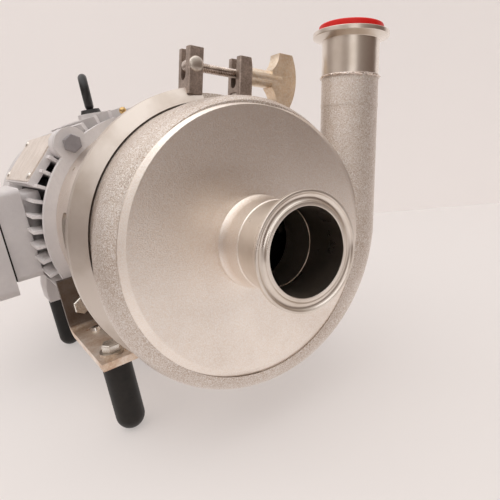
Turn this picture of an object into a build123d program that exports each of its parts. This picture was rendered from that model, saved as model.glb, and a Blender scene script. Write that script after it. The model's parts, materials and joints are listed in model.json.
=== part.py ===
# Sanitary centrifugal pump with a spiral casing, a V-band clamp, a stainless lantern and a finned motor.
# Millimetres. The origin is the centre of the suction mouth, on the shaft axis.
# +Y runs along the shaft towards the motor, +Z is up and +X is to the right seen from the suction side.
from build123d import *
from math import atan2, cos, degrees, pi, radians, sin, sqrt, tan
import os

# Stance
shaft_height = 126.5          # shaft axis above the floor
casing_turn = 12.0            # casing and discharge turned to the right about the shaft, degrees
clamp_turn = 15.0             # clamp split turned to the right about the shaft, degrees

# Fits and common fasteners
turning_gap = 0.05
slide_gap = 0.2
hole_gap = 0.2
bolt_hex_r = 7.2
bolt_head_height = 5.4
bolt_shank_r = 4.0
screw_head_r = 5.0
screw_head_height = 4.0
screw_shank_r = 2.5
rivet_r = 2.0
rivet_depth = 5.0

# Suction port, two-inch sanitary size
suction_bore_r = 23.75
suction_tube_r = 25.4
suction_rim_r = 32.0
suction_groove_r = 28.2
suction_ferrule_length = 28.6
rim_thickness = 2.85
rim_taper = 20.0
groove_section_r = 2.4
groove_depth = 1.6
collar_r = 27.6
collar_length = 9.0
weld_bead_r = 0.45
weld_bead_width = 2.0

# Front plate
front_y = 49.0
plate_thickness = 3.0
plate_flat_r = 78.5
plate_edge_r = 81.0
plate_edge_shift = 2.4
plate_bevel_depth = 2.0

# Casing shell
drum_r = 84.4
drum_wall = 3.6
drum_nose_r = 81.0
drum_nose_depth = 10.0
joint_y = 106.5               # plane where casing and backplate meet
flange_r = 91.0
flange_rim_thickness = 3.0
flange_root_thickness = 5.6
scroll_start = 60.0
scroll_start_r = 81.5
scroll_start_section_r = 16.6
scroll_flat = 2.4
scroll_wall = 2.5
scroll_steps = 10
volute_y = 67.6

# Discharge, one-and-a-half-inch sanitary size
discharge_x = 87.5
discharge_bore_r = 17.4
discharge_tube_r = 19.05
discharge_rim_r = 25.25
discharge_groove_r = 21.8
neck_top = 85.0
discharge_weld = 103.4
discharge_ferrule_length = 28.6

# Discharge cap
cap_r = 21.4
cap_brim_thickness = 4.6
cap_dome = 2.4
cap_plug_length = 10.0
cap_wall = 1.6

# Backplate and joint ring
backplate_front_y = 87.0
backplate_face_thickness = 4.5
backplate_wall = 4.0
backplate_gap = 0.4
backplate_ring_r = 64.0
backplate_screw_r = 69.0
oring_r = 86.8
oring_section_r = 1.5
seat_bore_r = 17.0

# V-band clamp
clamp_lip_r = 85.4
clamp_lip_half_width = 10.5
clamp_crown_r = 95.0
clamp_crown_width = 7.0
clamp_grip_gap = 0.02
clamp_root_gap = 0.6
jaw_half_gap = 13.2
jaw_width = 10.5
jaw_depth = 16.0
jaw_bite = 7.0
jaw_foot = clamp_crown_r - jaw_bite
jaw_round = 1.2
slot_width = 6.6
rod_lift = 11.5
rod_height = clamp_crown_r + rod_lift
jaw_above = 10.5
jaw_top = rod_height + jaw_above
slot_below = 9.5
slot_bottom = rod_height - slot_below
rod_r = 3.0
rod_end = 52.0
pivot_x = 18.5
pivot_pin_r = 3.0
pin_head_r = 4.9
pin_head_thickness = 1.4
eye_r = 5.4
hinge_split = 1.0
hinge_drop = 6.6
hinge_height = clamp_crown_r + hinge_drop
hinge_knuckle_r = 6.0
hinge_pin_r = 2.5
hinge_centre_width = 7.0
hinge_side_width = 4.2
hinge_side_gap = 0.15

# Hand nut
nut_neck_r = 6.0
nut_neck_length = 17.3
nut_head_length = 20.5
nut_half_height = 18.0
nut_thickness = 11.0
nut_flare = 5.0
nut_tip = 11.0
nut_seat_gap = 0.1

# Pump shaft, seal and impeller
pump_shaft_r = 9.0
impeller_r = 72.0
impeller_shroud = 3.0
impeller_clearance = 2.0
impeller_hub_r = 14.0
impeller_eye_r = 20.0
vane_count = 5
vane_thickness = 3.5
impeller_back_y = 76.0
nut_r = 10.5
nut_length = 7.5
nut_skirt = 3.5
seal_ring_r = 15.5
seal_ring_thickness = 6.0
seal_face_y = 92.0
seal_spring_r = 12.4
seal_spring_section = 1.2
seal_bore_gap = 0.6
flinger_r = 19.0
flinger_y = 128.0
flinger_thickness = 5.0
sleeve_r = 19.0
sleeve_start_y = 150.0
sleeve_end_y = 203.0
clamp_ring_r = 28.0
clamp_ring_start_y = 180.0
clamp_ring_width = 15.0

# Lantern
lantern_r = 80.0
lantern_wall = 5.0
lantern_front_thickness = 6.0
lantern_rear_y = 212.0
lantern_rear_thickness = 8.0
lantern_hub_r = 45.0
lantern_bolt_r = 65.0
window_start_y = 132.0
window_end_y = 192.0
window_half_height = 27.0
vent_hole_r = 1.9
fitting_y = 152.0
fitting_angle = 106.0
fitting_ball_r = 2.5
fitting_stem_r = 1.6
fitting_length = 15.5

# Motor
motor_flange_r = 89.0
motor_flange_thickness = 8.0
frame_end_y = 400.0
frame_inner_r = 72.0
frame_wall = 8.5
fin_height = 15.0
cast_root = 4.0
frame_core_r = frame_inner_r + frame_wall
fin_tip_r = frame_core_r + fin_height
fin_thickness = 2.6
fin_count = 48
fin_end_gap = 3.0
lug_r = 13.0
lug_x = 51.0
lug_z = 74.0
lug_length = 15.0
foot_lug_x = 78.0
foot_lug_z = 50.0
foot_lug_r = 12.0
rear_shield_thickness = 12.0
rear_screw_r = frame_inner_r + 4.2
rear_screw_depth = 15.0
motor_shaft_r = 12.0
motor_shaft_start_y = 170.0
motor_shaft_end_y = 455.0
bearing_outer_r = 26.0
bearing_width = 15.0
stator_ring = 32.0
stator_inner_r = frame_inner_r - stator_ring
stator_start_y = 262.0
stator_end_y = 366.0
stator_slots = 24
winding_slot_depth = 14.0
winding_slot_width = 5.0
winding_length = 22.0
winding_inset = 8.0
winding_r = frame_inner_r - winding_inset
rotor_gap = 0.6
fan_hub_r = 20.0
fan_start_y = 424.0
fan_width = 20.0
fan_blades = 8
cowl_inset = 2.5
cowl_r = fin_tip_r - cowl_inset
cowl_wall = 1.6
fan_room = 17.0
fan_r = cowl_r - fan_room
cowl_corner = 10.0
cowl_start_y = 404.0
cowl_end_y = 468.0
cowl_screw_y = 408.0

# Eyebolt and rating plate
eyebolt_y = 320.0
eyebolt_rise = 3.5
eyebolt_seat = fin_tip_r + eyebolt_rise
eye_ring_r = 13.3
eye_wire_r = 4.2
eye_collar_r = 10.0
eye_collar_height = 4.0
eye_thread_r = 5.0
eye_thread_length = 14.0
eye_turn = 16.0
plate_angle = 136.0
plate_height = 46.0
plate_start_y = 236.0
plate_end_y = 372.0
plate_rise = 2.0
plate_seat_r = fin_tip_r + plate_rise
plate_rivet_end = 6.0
plate_rivet_side = 5.0
plate_pad = 6.5
plate_sheet = 1.2

# Terminal box on the left of the motor
box_start_y = 256.0
box_end_y = 346.0
box_bottom = -30.0
box_top = 47.0
box_face_x = 113.0
box_depth = 21.0
box_wall = 4.0
box_post = 9.0
box_root_x = frame_inner_r + cast_root
gasket_thickness = 1.5
lid_depth = 26.0
lid_wall = 3.0
lid_round = 3.0
lid_corner = 7.0
lid_over_side = 3.0
lid_over_bottom = 11.0
lid_over_top = 3.0
lid_screw_grip = 12.0
gland_r = 11.0
gland_length = 20.0
gland_thread_r = 8.0
gland_bore_r = 5.0

# Brackets and legs
bracket_outer_x = 91.0
bracket_inner_x = 61.0
bracket_thickness = 5.2
bracket_top = -67.0
bracket_front_y = 118.0
bracket_wall_top = -27.0
bracket_bend_r = 9.5
bracket_cut_gap = 1.0
leg_x = 78.5
leg_r = 10.2
leg_setback = 15.0
leg_bolt_depth = 34.0
rear_leg_x = 75.5
rear_leg_y = 335.0
rear_pad_length = 34.0
rear_pad_inside = 20.0
rear_pad_outside = 11.0
rear_pad_thickness = 14.0
rear_pad_knee = 46.0
rear_pad_root = 20.0
rear_stud_depth = 10.0
washer_r = 9.2
washer_thickness = 1.6
earth_screw_x = 76.0
earth_screw_y = 186.0

os.makedirs("parts", exist_ok=True)


def direction(turn, angle=0.0):
    """Unit vector across the shaft: angle runs from right to up, the whole turned to the right by turn."""
    a = radians(angle - turn)
    return Vector(cos(a), 0, sin(a))


def across(y, turn=0.0):
    """Plane across the shaft at depth y, facing the front, with local y up."""
    return Plane(origin=(0, y, 0), x_dir=direction(turn), z_dir=(0, -1, 0))


def lathe(points):
    """Closed half profile of radius and depth, to be turned about the shaft axis."""
    with BuildSketch(Plane.XY, mode=Mode.PRIVATE) as profile:
        with BuildLine():
            Polyline(*points, close=True)
        make_face()
    return profile.sketch.faces()


def dome_arc(radius, foot, top):
    """Arc from the edge of a dome to its top, centred on the turning axis."""
    centre = (top**2 - foot**2 - radius**2) / (2 * (top - foot))
    sphere = abs(top - centre)
    facing = 1 if top > centre else -1
    half = atan2(radius, facing * (foot - centre)) / 2
    middle = (sphere * sin(half), centre + facing * sphere * cos(half))
    return ThreePointArc((radius, foot), middle, (0, top))


def ferrule_profile(plane, bore, tube, rim, groove, length):
    """Half section of a clamp ferrule with its mouth on the plane's x axis and its body along y."""
    shoulder = rim_thickness + (rim - tube) * tan(radians(rim_taper))
    with BuildSketch(plane, mode=Mode.PRIVATE) as profile:
        with BuildLine():
            Polyline(
                (bore, 0), (rim, 0), (rim, rim_thickness), (tube, shoulder), (tube, length), (bore, length), close=True
            )
        make_face()
        with Locations((groove, groove_depth - groove_section_r)):
            Circle(groove_section_r, mode=Mode.SUBTRACT)
    return profile.sketch.faces()


def hex_bolt(plane, length, head_r=bolt_hex_r, head=bolt_head_height, shank=bolt_shank_r):
    """Hexagon bolt: the head stands on the plane's normal side and the shank goes the other way."""
    with BuildPart(plane, mode=Mode.PRIVATE) as bolt:
        with BuildSketch(plane):
            RegularPolygon(head_r, 6)
        extrude(amount=head)
        chamfer(bolt.faces().sort_by(Axis(plane.origin, plane.z_dir))[-1].edges(), head * 0.12)
        with BuildSketch(plane):
            Circle(shank)
        extrude(amount=-length)
    return bolt.part


up = direction(casing_turn, 90)
right = direction(casing_turn)
suction_axis = Axis.Y
discharge_foot = right * discharge_x + Vector(0, volute_y, 0)
discharge_axis = Axis(discharge_foot, up)
discharge_top = discharge_weld + discharge_ferrule_length


def discharge_plane(height):
    """Plane across the discharge pipe at a height along it."""
    return Plane(origin=discharge_foot + up * height, x_dir=right, z_dir=up)


# Suction ferrule: clamp rim, gasket groove and tube end
with BuildPart() as suction_ferrule:
    revolve(
        ferrule_profile(
            Plane.XY, suction_bore_r, suction_tube_r, suction_rim_r, suction_groove_r, suction_ferrule_length
        ),
        axis=suction_axis,
    )
suction_ferrule.part.label = "suction_ferrule"
export_step(suction_ferrule.part, "parts/suction_ferrule.step")

# Suction nozzle: tube with a weld bead at the ferrule and a flared collar on the front plate
with BuildPart() as suction_nozzle:
    with BuildSketch(Plane.XY):
        with BuildLine():
            Polyline(
                (collar_r, front_y),
                (suction_bore_r, front_y),
                (suction_bore_r, suction_ferrule_length),
                (suction_tube_r, suction_ferrule_length),
                (suction_tube_r, front_y - collar_length),
            )
            ThreePointArc(
                (suction_tube_r, front_y - collar_length),
                (suction_tube_r + (collar_r - suction_tube_r) * 0.35, front_y - collar_length * 0.7),
                (collar_r, front_y - collar_length * 0.45),
            )
            Line((collar_r, front_y - collar_length * 0.45), (collar_r, front_y))
        make_face()
    revolve(axis=suction_axis)
    revolve(
        lathe(
            [
                (suction_tube_r, suction_ferrule_length - weld_bead_width / 2),
                (suction_tube_r + weld_bead_r, suction_ferrule_length - weld_bead_width / 4),
                (suction_tube_r + weld_bead_r, suction_ferrule_length + weld_bead_width / 4),
                (suction_tube_r, suction_ferrule_length + weld_bead_width / 2),
            ]
        ),
        axis=suction_axis,
    )
suction_nozzle.part.label = "suction_nozzle"
export_step(suction_nozzle.part, "parts/suction_nozzle.step")

# Front plate: a flat round face with a bevel that widens towards the lower left
edge_x = -plate_edge_shift * sin(radians(45))
with BuildPart() as front_plate:
    with BuildSketch(across(front_y, casing_turn)):
        Circle(plate_flat_r)
    with BuildSketch(across(front_y + plate_bevel_depth, casing_turn)):
        with Locations((edge_x, edge_x)):
            Circle(plate_edge_r)
    loft()
    with BuildSketch(across(front_y + plate_bevel_depth, casing_turn)):
        with Locations((edge_x, edge_x)):
            Circle(plate_edge_r)
    extrude(amount=plate_bevel_depth - plate_thickness)
    with BuildSketch(across(front_y, casing_turn)):
        Circle(suction_bore_r)
    extrude(amount=-plate_thickness, mode=Mode.SUBTRACT)
front_plate.part.label = "front_plate"
export_step(front_plate.part, "parts/front_plate.step")


def scroll_share(step):
    """Share of the scroll's turn that is done at a step."""
    return step / scroll_steps


def scroll_plane(step):
    """Plane across the scroll passage, and the passage's outer radius there."""
    share = scroll_share(step)
    growth = discharge_x + discharge_tube_r - scroll_start_r
    outer = scroll_start_r + growth * share - scroll_flat * sin(pi * share**2)
    section = scroll_section(step)
    angle = scroll_start + (360 - scroll_start) * share
    radial = direction(casing_turn, angle)
    centre = radial * (outer - section) + Vector(0, volute_y, 0)
    return Plane(origin=centre, x_dir=radial, z_dir=direction(casing_turn, angle + 90))


def scroll_section(step):
    """Outer radius of the scroll passage at a step."""
    return scroll_start_section_r + (discharge_tube_r - scroll_start_section_r) * scroll_share(step)


# Casing shell: drum, spiral passage, discharge neck and rear flange in one piece
cavity_r = drum_r - drum_wall
with BuildPart() as casing_volute:
    with BuildSketch(Plane.XY):
        with BuildLine():
            Polyline(
                (drum_r, front_y + plate_thickness + drum_nose_depth),
                (drum_r, joint_y - flange_root_thickness),
                (flange_r, joint_y - flange_rim_thickness),
                (flange_r, joint_y),
                (0, joint_y),
                (0, front_y + plate_thickness),
                (drum_nose_r, front_y + plate_thickness),
            )
            ThreePointArc(
                (drum_nose_r, front_y + plate_thickness),
                (
                    drum_nose_r + (drum_r - drum_nose_r) * 0.72,
                    front_y + plate_thickness + drum_nose_depth * 0.35,
                ),
                (drum_r, front_y + plate_thickness + drum_nose_depth),
            )
        make_face()
    revolve(axis=suction_axis)
    for step in range(scroll_steps + 1):
        with BuildSketch(scroll_plane(step)):
            Circle(scroll_section(step))
    loft()
    with BuildSketch(discharge_plane(0)):
        Circle(discharge_tube_r)
    extrude(amount=neck_top)
    revolve(
        lathe(
            [
                (0, joint_y),
                (cavity_r, joint_y),
                (cavity_r, front_y + plate_thickness + drum_nose_depth),
                (drum_nose_r - drum_wall, front_y + plate_thickness),
                (0, front_y + plate_thickness),
            ]
        ),
        axis=suction_axis,
        mode=Mode.SUBTRACT,
    )
    for step in range(scroll_steps + 1):
        with BuildSketch(scroll_plane(step)):
            wall = scroll_wall + (discharge_tube_r - discharge_bore_r - scroll_wall) * scroll_share(step)
            Circle(scroll_section(step) - wall)
    loft(mode=Mode.SUBTRACT)
    with BuildSketch(discharge_plane(0)):
        Circle(discharge_bore_r)
    extrude(amount=neck_top, mode=Mode.SUBTRACT)
    with BuildSketch(across(front_y + plate_thickness, casing_turn)):
        with Locations((edge_x, edge_x)):
            Circle(plate_edge_r)
    extrude(amount=plate_thickness * 3, mode=Mode.SUBTRACT)
casing_volute.part.label = "casing_volute"
export_step(casing_volute.part, "parts/casing_volute.step")

# Discharge tube with weld beads at both ends
with BuildPart() as discharge_tube:
    with BuildSketch(discharge_plane(neck_top)):
        Circle(discharge_tube_r)
        Circle(discharge_bore_r, mode=Mode.SUBTRACT)
    extrude(amount=discharge_weld - neck_top)
    for height, bead in ((neck_top, weld_bead_r * 0.5), (discharge_weld, weld_bead_r)):
        with BuildSketch(discharge_plane(height - weld_bead_width / 2)):
            Circle(discharge_tube_r + bead)
            Circle(discharge_tube_r, mode=Mode.SUBTRACT)
        extrude(amount=weld_bead_width)
discharge_tube.part.label = "discharge_tube"
export_step(discharge_tube.part, "parts/discharge_tube.step")

# Discharge ferrule
mouth_plane = Plane(origin=discharge_foot + up * discharge_top, x_dir=right, z_dir=(0, 1, 0))
with BuildPart() as discharge_ferrule:
    revolve(
        ferrule_profile(
            mouth_plane,
            discharge_bore_r,
            discharge_tube_r,
            discharge_rim_r,
            discharge_groove_r,
            discharge_ferrule_length,
        ),
        axis=discharge_axis,
    )
discharge_ferrule.part.label = "discharge_ferrule"
export_step(discharge_ferrule.part, "parts/discharge_ferrule.step")

# Push-in cap: domed brim on the ferrule's face and a hollow plug in its bore
cap_plug_r = discharge_bore_r - turning_gap
with BuildPart() as outlet_cap:
    with BuildSketch(mouth_plane):
        with BuildLine():
            Polyline(
                (0, -cap_brim_thickness - cap_dome),
                (0, -cap_brim_thickness),
                (cap_plug_r - cap_wall, -cap_brim_thickness),
                (cap_plug_r - cap_wall, cap_plug_length),
                (cap_plug_r, cap_plug_length),
                (cap_plug_r, 0),
                (cap_r, 0),
                (cap_r, -cap_brim_thickness),
            )
            dome_arc(cap_r, -cap_brim_thickness, -cap_brim_thickness - cap_dome)
        make_face()
    revolve(axis=discharge_axis)
outlet_cap.part.label = "outlet_cap"
export_step(outlet_cap.part, "parts/outlet_cap.step")

# Backplate: a dish that closes the casing, with the flange's mirror image and the seal seat's bore
spigot_r = cavity_r - backplate_gap
flange_back_y = joint_y + flange_root_thickness
with BuildPart() as backplate:
    revolve(
        lathe(
            [
                (seat_bore_r, backplate_front_y),
                (spigot_r, backplate_front_y),
                (spigot_r, joint_y),
                (flange_r, joint_y),
                (flange_r, joint_y + flange_rim_thickness),
                (drum_r, flange_back_y),
                (backplate_ring_r, flange_back_y),
                (backplate_ring_r, flange_back_y - 8),
                (spigot_r - backplate_wall, flange_back_y - 8),
                (spigot_r - backplate_wall, backplate_front_y + backplate_face_thickness),
                (seat_bore_r + backplate_wall, backplate_front_y + backplate_face_thickness),
                (seat_bore_r + backplate_wall, flange_back_y - 4),
                (seat_bore_r, flange_back_y - 4),
            ]
        ),
        axis=suction_axis,
    )
    revolve(
        lathe(
            [
                (oring_r - oring_section_r, joint_y),
                (oring_r + oring_section_r, joint_y),
                (oring_r + oring_section_r, joint_y + 2 * oring_section_r),
                (oring_r - oring_section_r, joint_y + 2 * oring_section_r),
            ]
        ),
        axis=suction_axis,
        mode=Mode.SUBTRACT,
    )
    with BuildSketch(across(flange_back_y)):
        with PolarLocations(backplate_screw_r, 4, start_angle=45):
            Circle(screw_shank_r)
    extrude(amount=6.5, mode=Mode.SUBTRACT)
backplate.part.label = "backplate"
export_step(backplate.part, "parts/backplate.step")

# Joint ring in the backplate's groove
with BuildPart() as casing_oring:
    with BuildSketch(Plane.XY):
        with Locations((oring_r, joint_y + oring_section_r)):
            Circle(oring_section_r)
    revolve(axis=suction_axis)
casing_oring.part.label = "casing_oring"
export_step(casing_oring.part, "parts/casing_oring.step")

# Impeller: back shroud, hub and swept-back vanes
impeller_front_y = front_y + plate_thickness + impeller_clearance
hub_front_y = impeller_front_y + 6


def vane_outline():
    """Outline of one curved vane seen along the shaft."""
    with BuildSketch(mode=Mode.PRIVATE) as outline:
        with BuildLine() as curve:
            ThreePointArc(
                (impeller_eye_r, 0),
                (impeller_r * 0.60, impeller_r * 0.42),
                (impeller_r * 0.42, impeller_r * 0.87),
            )
        trace(curve.edges(), line_width=vane_thickness)
    return outline.sketch


with BuildPart() as impeller:
    revolve(
        lathe(
            [
                (pump_shaft_r, hub_front_y),
                (impeller_hub_r - 3, hub_front_y),
                (impeller_hub_r, impeller_back_y - impeller_shroud),
                (impeller_r, impeller_back_y - impeller_shroud),
                (impeller_r, impeller_back_y),
                (impeller_hub_r, impeller_back_y),
                (impeller_hub_r, impeller_back_y + 4),
                (pump_shaft_r, impeller_back_y + 4),
            ]
        ),
        axis=suction_axis,
    )
    with BuildSketch(across(impeller_back_y - impeller_shroud)):
        with PolarLocations(0, vane_count):
            add(vane_outline())
    extrude(amount=impeller_back_y - impeller_shroud - impeller_front_y)
impeller.part.label = "impeller"
export_step(impeller.part, "parts/impeller.step")

# Domed impeller nut on the shaft end
shaft_nose_y = hub_front_y - 3.0
nut_tip_y = hub_front_y - nut_length
with BuildPart() as impeller_nut:
    with BuildSketch(Plane.XY):
        with BuildLine():
            Polyline(
                (0, nut_tip_y),
                (0, shaft_nose_y),
                (pump_shaft_r, shaft_nose_y),
                (pump_shaft_r, hub_front_y),
                (nut_r, hub_front_y),
                (nut_r, hub_front_y - nut_skirt),
            )
            dome_arc(nut_r, hub_front_y - nut_skirt, nut_tip_y)
        make_face()
    revolve(axis=suction_axis)
impeller_nut.part.label = "impeller_nut"
export_step(impeller_nut.part, "parts/impeller_nut.step")

# Seal: rotating ring behind the impeller hub, spring round the shaft, stationary ring in the backplate
ring_front_y = impeller_back_y + 4
with BuildPart() as seal_rotating_ring:
    revolve(
        lathe(
            [
                (pump_shaft_r, seal_face_y - seal_ring_thickness),
                (seal_ring_r, seal_face_y - seal_ring_thickness),
                (seal_ring_r, seal_face_y - turning_gap),
                (pump_shaft_r, seal_face_y - turning_gap),
            ]
        ),
        axis=suction_axis,
    )
seal_rotating_ring.part.label = "seal_rotating_ring"
export_step(seal_rotating_ring.part, "parts/seal_rotating_ring.step")

with BuildPart() as seal_spring:
    revolve(
        lathe(
            [
                (seal_spring_r - seal_spring_section, ring_front_y),
                (seal_spring_r + seal_spring_section, ring_front_y),
                (seal_spring_r + seal_spring_section, seal_face_y - seal_ring_thickness),
                (seal_spring_r - seal_spring_section, seal_face_y - seal_ring_thickness),
            ]
        ),
        axis=suction_axis,
    )
seal_spring.part.label = "seal_spring"
export_step(seal_spring.part, "parts/seal_spring.step")

with BuildPart() as seal_stationary_ring:
    revolve(
        lathe(
            [
                (pump_shaft_r + seal_bore_gap, seal_face_y),
                (seat_bore_r, seal_face_y),
                (seat_bore_r, flange_back_y - 6),
                (pump_shaft_r + seal_bore_gap, flange_back_y - 6),
            ]
        ),
        axis=suction_axis,
    )
seal_stationary_ring.part.label = "seal_stationary_ring"
export_step(seal_stationary_ring.part, "parts/seal_stationary_ring.step")

# Pump shaft: stub with a sleeve that slips over the motor shaft
with BuildPart() as pump_shaft:
    revolve(
        lathe(
            [
                (0, shaft_nose_y),
                (pump_shaft_r, shaft_nose_y),
                (pump_shaft_r, sleeve_start_y - 8),
                (sleeve_r, sleeve_start_y),
                (sleeve_r, sleeve_end_y),
                (motor_shaft_r, sleeve_end_y),
                (motor_shaft_r, motor_shaft_start_y),
                (0, motor_shaft_start_y),
            ]
        ),
        axis=suction_axis,
    )
pump_shaft.part.label = "pump_shaft"
export_step(pump_shaft.part, "parts/pump_shaft.step")

with BuildPart() as shaft_clamp_ring:
    with BuildSketch(across(clamp_ring_start_y)):
        Circle(clamp_ring_r)
        Circle(sleeve_r, mode=Mode.SUBTRACT)
        with Locations((0, (clamp_ring_r + sleeve_r) / 2)):
            Rectangle(2.0, clamp_ring_r - sleeve_r + 4, mode=Mode.SUBTRACT)
    extrude(amount=-clamp_ring_width)
    with BuildSketch(Plane.YZ):
        with Locations((clamp_ring_start_y + clamp_ring_width / 2, (clamp_ring_r + sleeve_r) / 2)):
            Circle(2.5)
    extrude(amount=16, both=True, mode=Mode.SUBTRACT)
shaft_clamp_ring.part.label = "shaft_clamp_ring"
export_step(shaft_clamp_ring.part, "parts/shaft_clamp_ring.step")

with BuildPart() as clamp_ring_screw:
    with BuildSketch(Plane.YZ.offset(-11)):
        with Locations((clamp_ring_start_y + clamp_ring_width / 2, (clamp_ring_r + sleeve_r) / 2)):
            Circle(2.5)
    extrude(amount=22)
clamp_ring_screw.part.label = "clamp_ring_screw"
export_step(clamp_ring_screw.part, "parts/clamp_ring_screw.step")

with BuildPart() as flinger:
    revolve(
        lathe(
            [
                (pump_shaft_r, flinger_y),
                (pump_shaft_r + 4, flinger_y),
                (flinger_r, flinger_y + flinger_thickness - 2),
                (flinger_r, flinger_y + flinger_thickness),
                (pump_shaft_r, flinger_y + flinger_thickness),
            ]
        ),
        axis=suction_axis,
    )
flinger.part.label = "flinger"
export_step(flinger.part, "parts/flinger.step")

# Lantern: a drum with a front ring, a rear ring and a window on each side
lantern_front_y = flange_back_y
with BuildPart() as lantern:
    revolve(
        lathe(
            [
                (lantern_hub_r, lantern_front_y),
                (lantern_r, lantern_front_y),
                (lantern_r, lantern_rear_y),
                (lantern_hub_r + 10, lantern_rear_y),
                (lantern_hub_r + 10, lantern_rear_y - lantern_rear_thickness),
                (lantern_r - lantern_wall, lantern_rear_y - lantern_rear_thickness),
                (lantern_r - lantern_wall, lantern_front_y + lantern_front_thickness),
                (lantern_hub_r, lantern_front_y + lantern_front_thickness),
            ]
        ),
        axis=suction_axis,
    )
    with BuildSketch(Plane.YZ):
        with Locations(((window_start_y + window_end_y) / 2, 0)):
            RectangleRounded(window_end_y - window_start_y, 2 * window_half_height, 8)
    extrude(amount=lantern_r + 5, both=True, mode=Mode.SUBTRACT)
    with BuildSketch(across(lantern_front_y - 1)):
        with PolarLocations(backplate_screw_r, 4, start_angle=45):
            Circle(screw_shank_r + hole_gap)
    extrude(amount=-lantern_front_thickness - 2, mode=Mode.SUBTRACT)
    with BuildSketch(across(lantern_rear_y + 1)):
        with PolarLocations(lantern_bolt_r, 4, start_angle=45):
            Circle(screw_shank_r + hole_gap)
    extrude(amount=lantern_rear_thickness + 2, mode=Mode.SUBTRACT)
    vent = direction(0, 136)
    with BuildSketch(Plane(origin=vent * (lantern_r + 2) + Vector(0, lantern_rear_y - 14, 0), z_dir=vent)):
        Circle(vent_hole_r)
    extrude(amount=-lantern_wall - 4, mode=Mode.SUBTRACT)
    fitting_dir = direction(0, fitting_angle)
    fitting_plane = Plane(
        origin=fitting_dir * (lantern_r - lantern_wall - 1) + Vector(0, fitting_y, 0), z_dir=fitting_dir
    )
    with BuildSketch(fitting_plane):
        Circle(fitting_stem_r)
    extrude(amount=lantern_wall + 4, mode=Mode.SUBTRACT)
lantern.part.label = "lantern"
export_step(lantern.part, "parts/lantern.step")

# Small brass fitting on top of the lantern
with BuildPart() as flush_fitting:
    with BuildSketch(Plane(origin=fitting_plane.origin + fitting_dir, z_dir=fitting_dir)):
        Circle(fitting_stem_r)
    extrude(amount=lantern_wall + fitting_length - fitting_ball_r)
    ball_centre = fitting_plane.origin + fitting_dir * (1 + lantern_wall + fitting_length - fitting_ball_r)
    with Locations(Location(ball_centre)):
        Sphere(fitting_ball_r)
    nut_seat = fitting_dir * (lantern_r + 0.2) + Vector(0, fitting_y, 0)
    with BuildSketch(Plane(origin=nut_seat, z_dir=fitting_dir)):
        RegularPolygon(fitting_stem_r * 2.1, 6)
    extrude(amount=4)
flush_fitting.part.label = "flush_fitting"
export_step(flush_fitting.part, "parts/flush_fitting.step")

# Clamp halves: V section turned through just under half a circle, with a slotted jaw and a hinge knuckle
flank_slope = (flange_root_thickness - flange_rim_thickness) / (flange_r - drum_r)
grip_half_lip = flange_root_thickness - flank_slope * (clamp_lip_r - drum_r) + clamp_grip_gap
crown_inner_r = flange_r + clamp_root_gap
grip_half_crown = flange_rim_thickness - flank_slope * clamp_root_gap + clamp_grip_gap
jaw_outer = jaw_half_gap + jaw_width
seat_from_pivot = pivot_x + jaw_outer
jaw_front_y = joint_y - jaw_depth / 2
jaw_back_y = joint_y + jaw_depth / 2
clamp_right = direction(clamp_turn)
clamp_up = direction(clamp_turn, 90)
pivot_point = Vector(0, joint_y, 0) + clamp_up * rod_height - clamp_right * pivot_x


def band_outline():
    """V section of the clamp band, as points of radius and depth."""
    return [
        (clamp_lip_r, joint_y - grip_half_lip),
        (clamp_lip_r, joint_y - clamp_lip_half_width),
        (clamp_crown_r, joint_y - clamp_crown_width / 2),
        (clamp_crown_r, joint_y + clamp_crown_width / 2),
        (clamp_lip_r, joint_y + clamp_lip_half_width),
        (clamp_lip_r, joint_y + grip_half_lip),
        (crown_inner_r, joint_y + grip_half_crown),
        (crown_inner_r, joint_y - grip_half_crown),
    ]


def grip_space():
    """Space inside the band, as points of radius and depth."""
    return [
        (drum_r - 6, joint_y - grip_half_lip),
        (clamp_lip_r, joint_y - grip_half_lip),
        (crown_inner_r, joint_y - grip_half_crown),
        (crown_inner_r, joint_y + grip_half_crown),
        (clamp_lip_r, joint_y + grip_half_lip),
        (drum_r - 6, joint_y + grip_half_lip),
    ]


def clamp_half(side):
    """One half of the band with its hinge knuckle: side is -1 for the left half and 1 for the right half."""
    split = degrees(atan2(jaw_half_gap + 1.0, clamp_crown_r))
    sweep = 180 - split - hinge_split
    start = direction(clamp_turn, 90 - split) if side > 0 else direction(clamp_turn, 270 - hinge_split)
    knuckle_start = 0 if side < 0 else hinge_centre_width / 2 + hinge_side_gap
    knuckle_end = hinge_centre_width / 2 if side < 0 else knuckle_start + hinge_side_width
    web_top = crown_inner_r + 0.7 if side < 0 else clamp_crown_r - 5
    with BuildPart(mode=Mode.PRIVATE) as half:
        with BuildSketch(Plane(origin=(0, 0, 0), x_dir=start, z_dir=start.cross(Vector(0, 1, 0)))):
            with BuildLine():
                Polyline(*band_outline(), close=True)
            make_face()
        revolve(axis=Axis.Y, revolution_arc=sweep)
        for facing in (-1, 1):
            knuckle_y = joint_y + facing * knuckle_start
            with BuildSketch(Plane(origin=(0, knuckle_y, 0), x_dir=clamp_right, z_dir=(0, -1, 0))):
                with Locations((0, -hinge_height)):
                    Circle(hinge_knuckle_r)
                with BuildLine():
                    Polyline(
                        (side * 2, -web_top),
                        (side * 18, -sqrt(web_top**2 - 18**2)),
                        (side * 18, -sqrt(clamp_crown_r**2 - 18**2)),
                        (side * hinge_knuckle_r * 0.7, -hinge_height - hinge_knuckle_r * 0.7),
                        (0, -hinge_height),
                        close=True,
                    )
                make_face()
            extrude(amount=-facing * (knuckle_end - knuckle_start))
        with BuildSketch(across(joint_y, clamp_turn)):
            with Locations((0, -hinge_height)):
                Circle(hinge_pin_r)
        extrude(amount=jaw_depth, both=True, mode=Mode.SUBTRACT)
        revolve(lathe(grip_space()), axis=suction_axis, mode=Mode.SUBTRACT)
    return half.part


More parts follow.
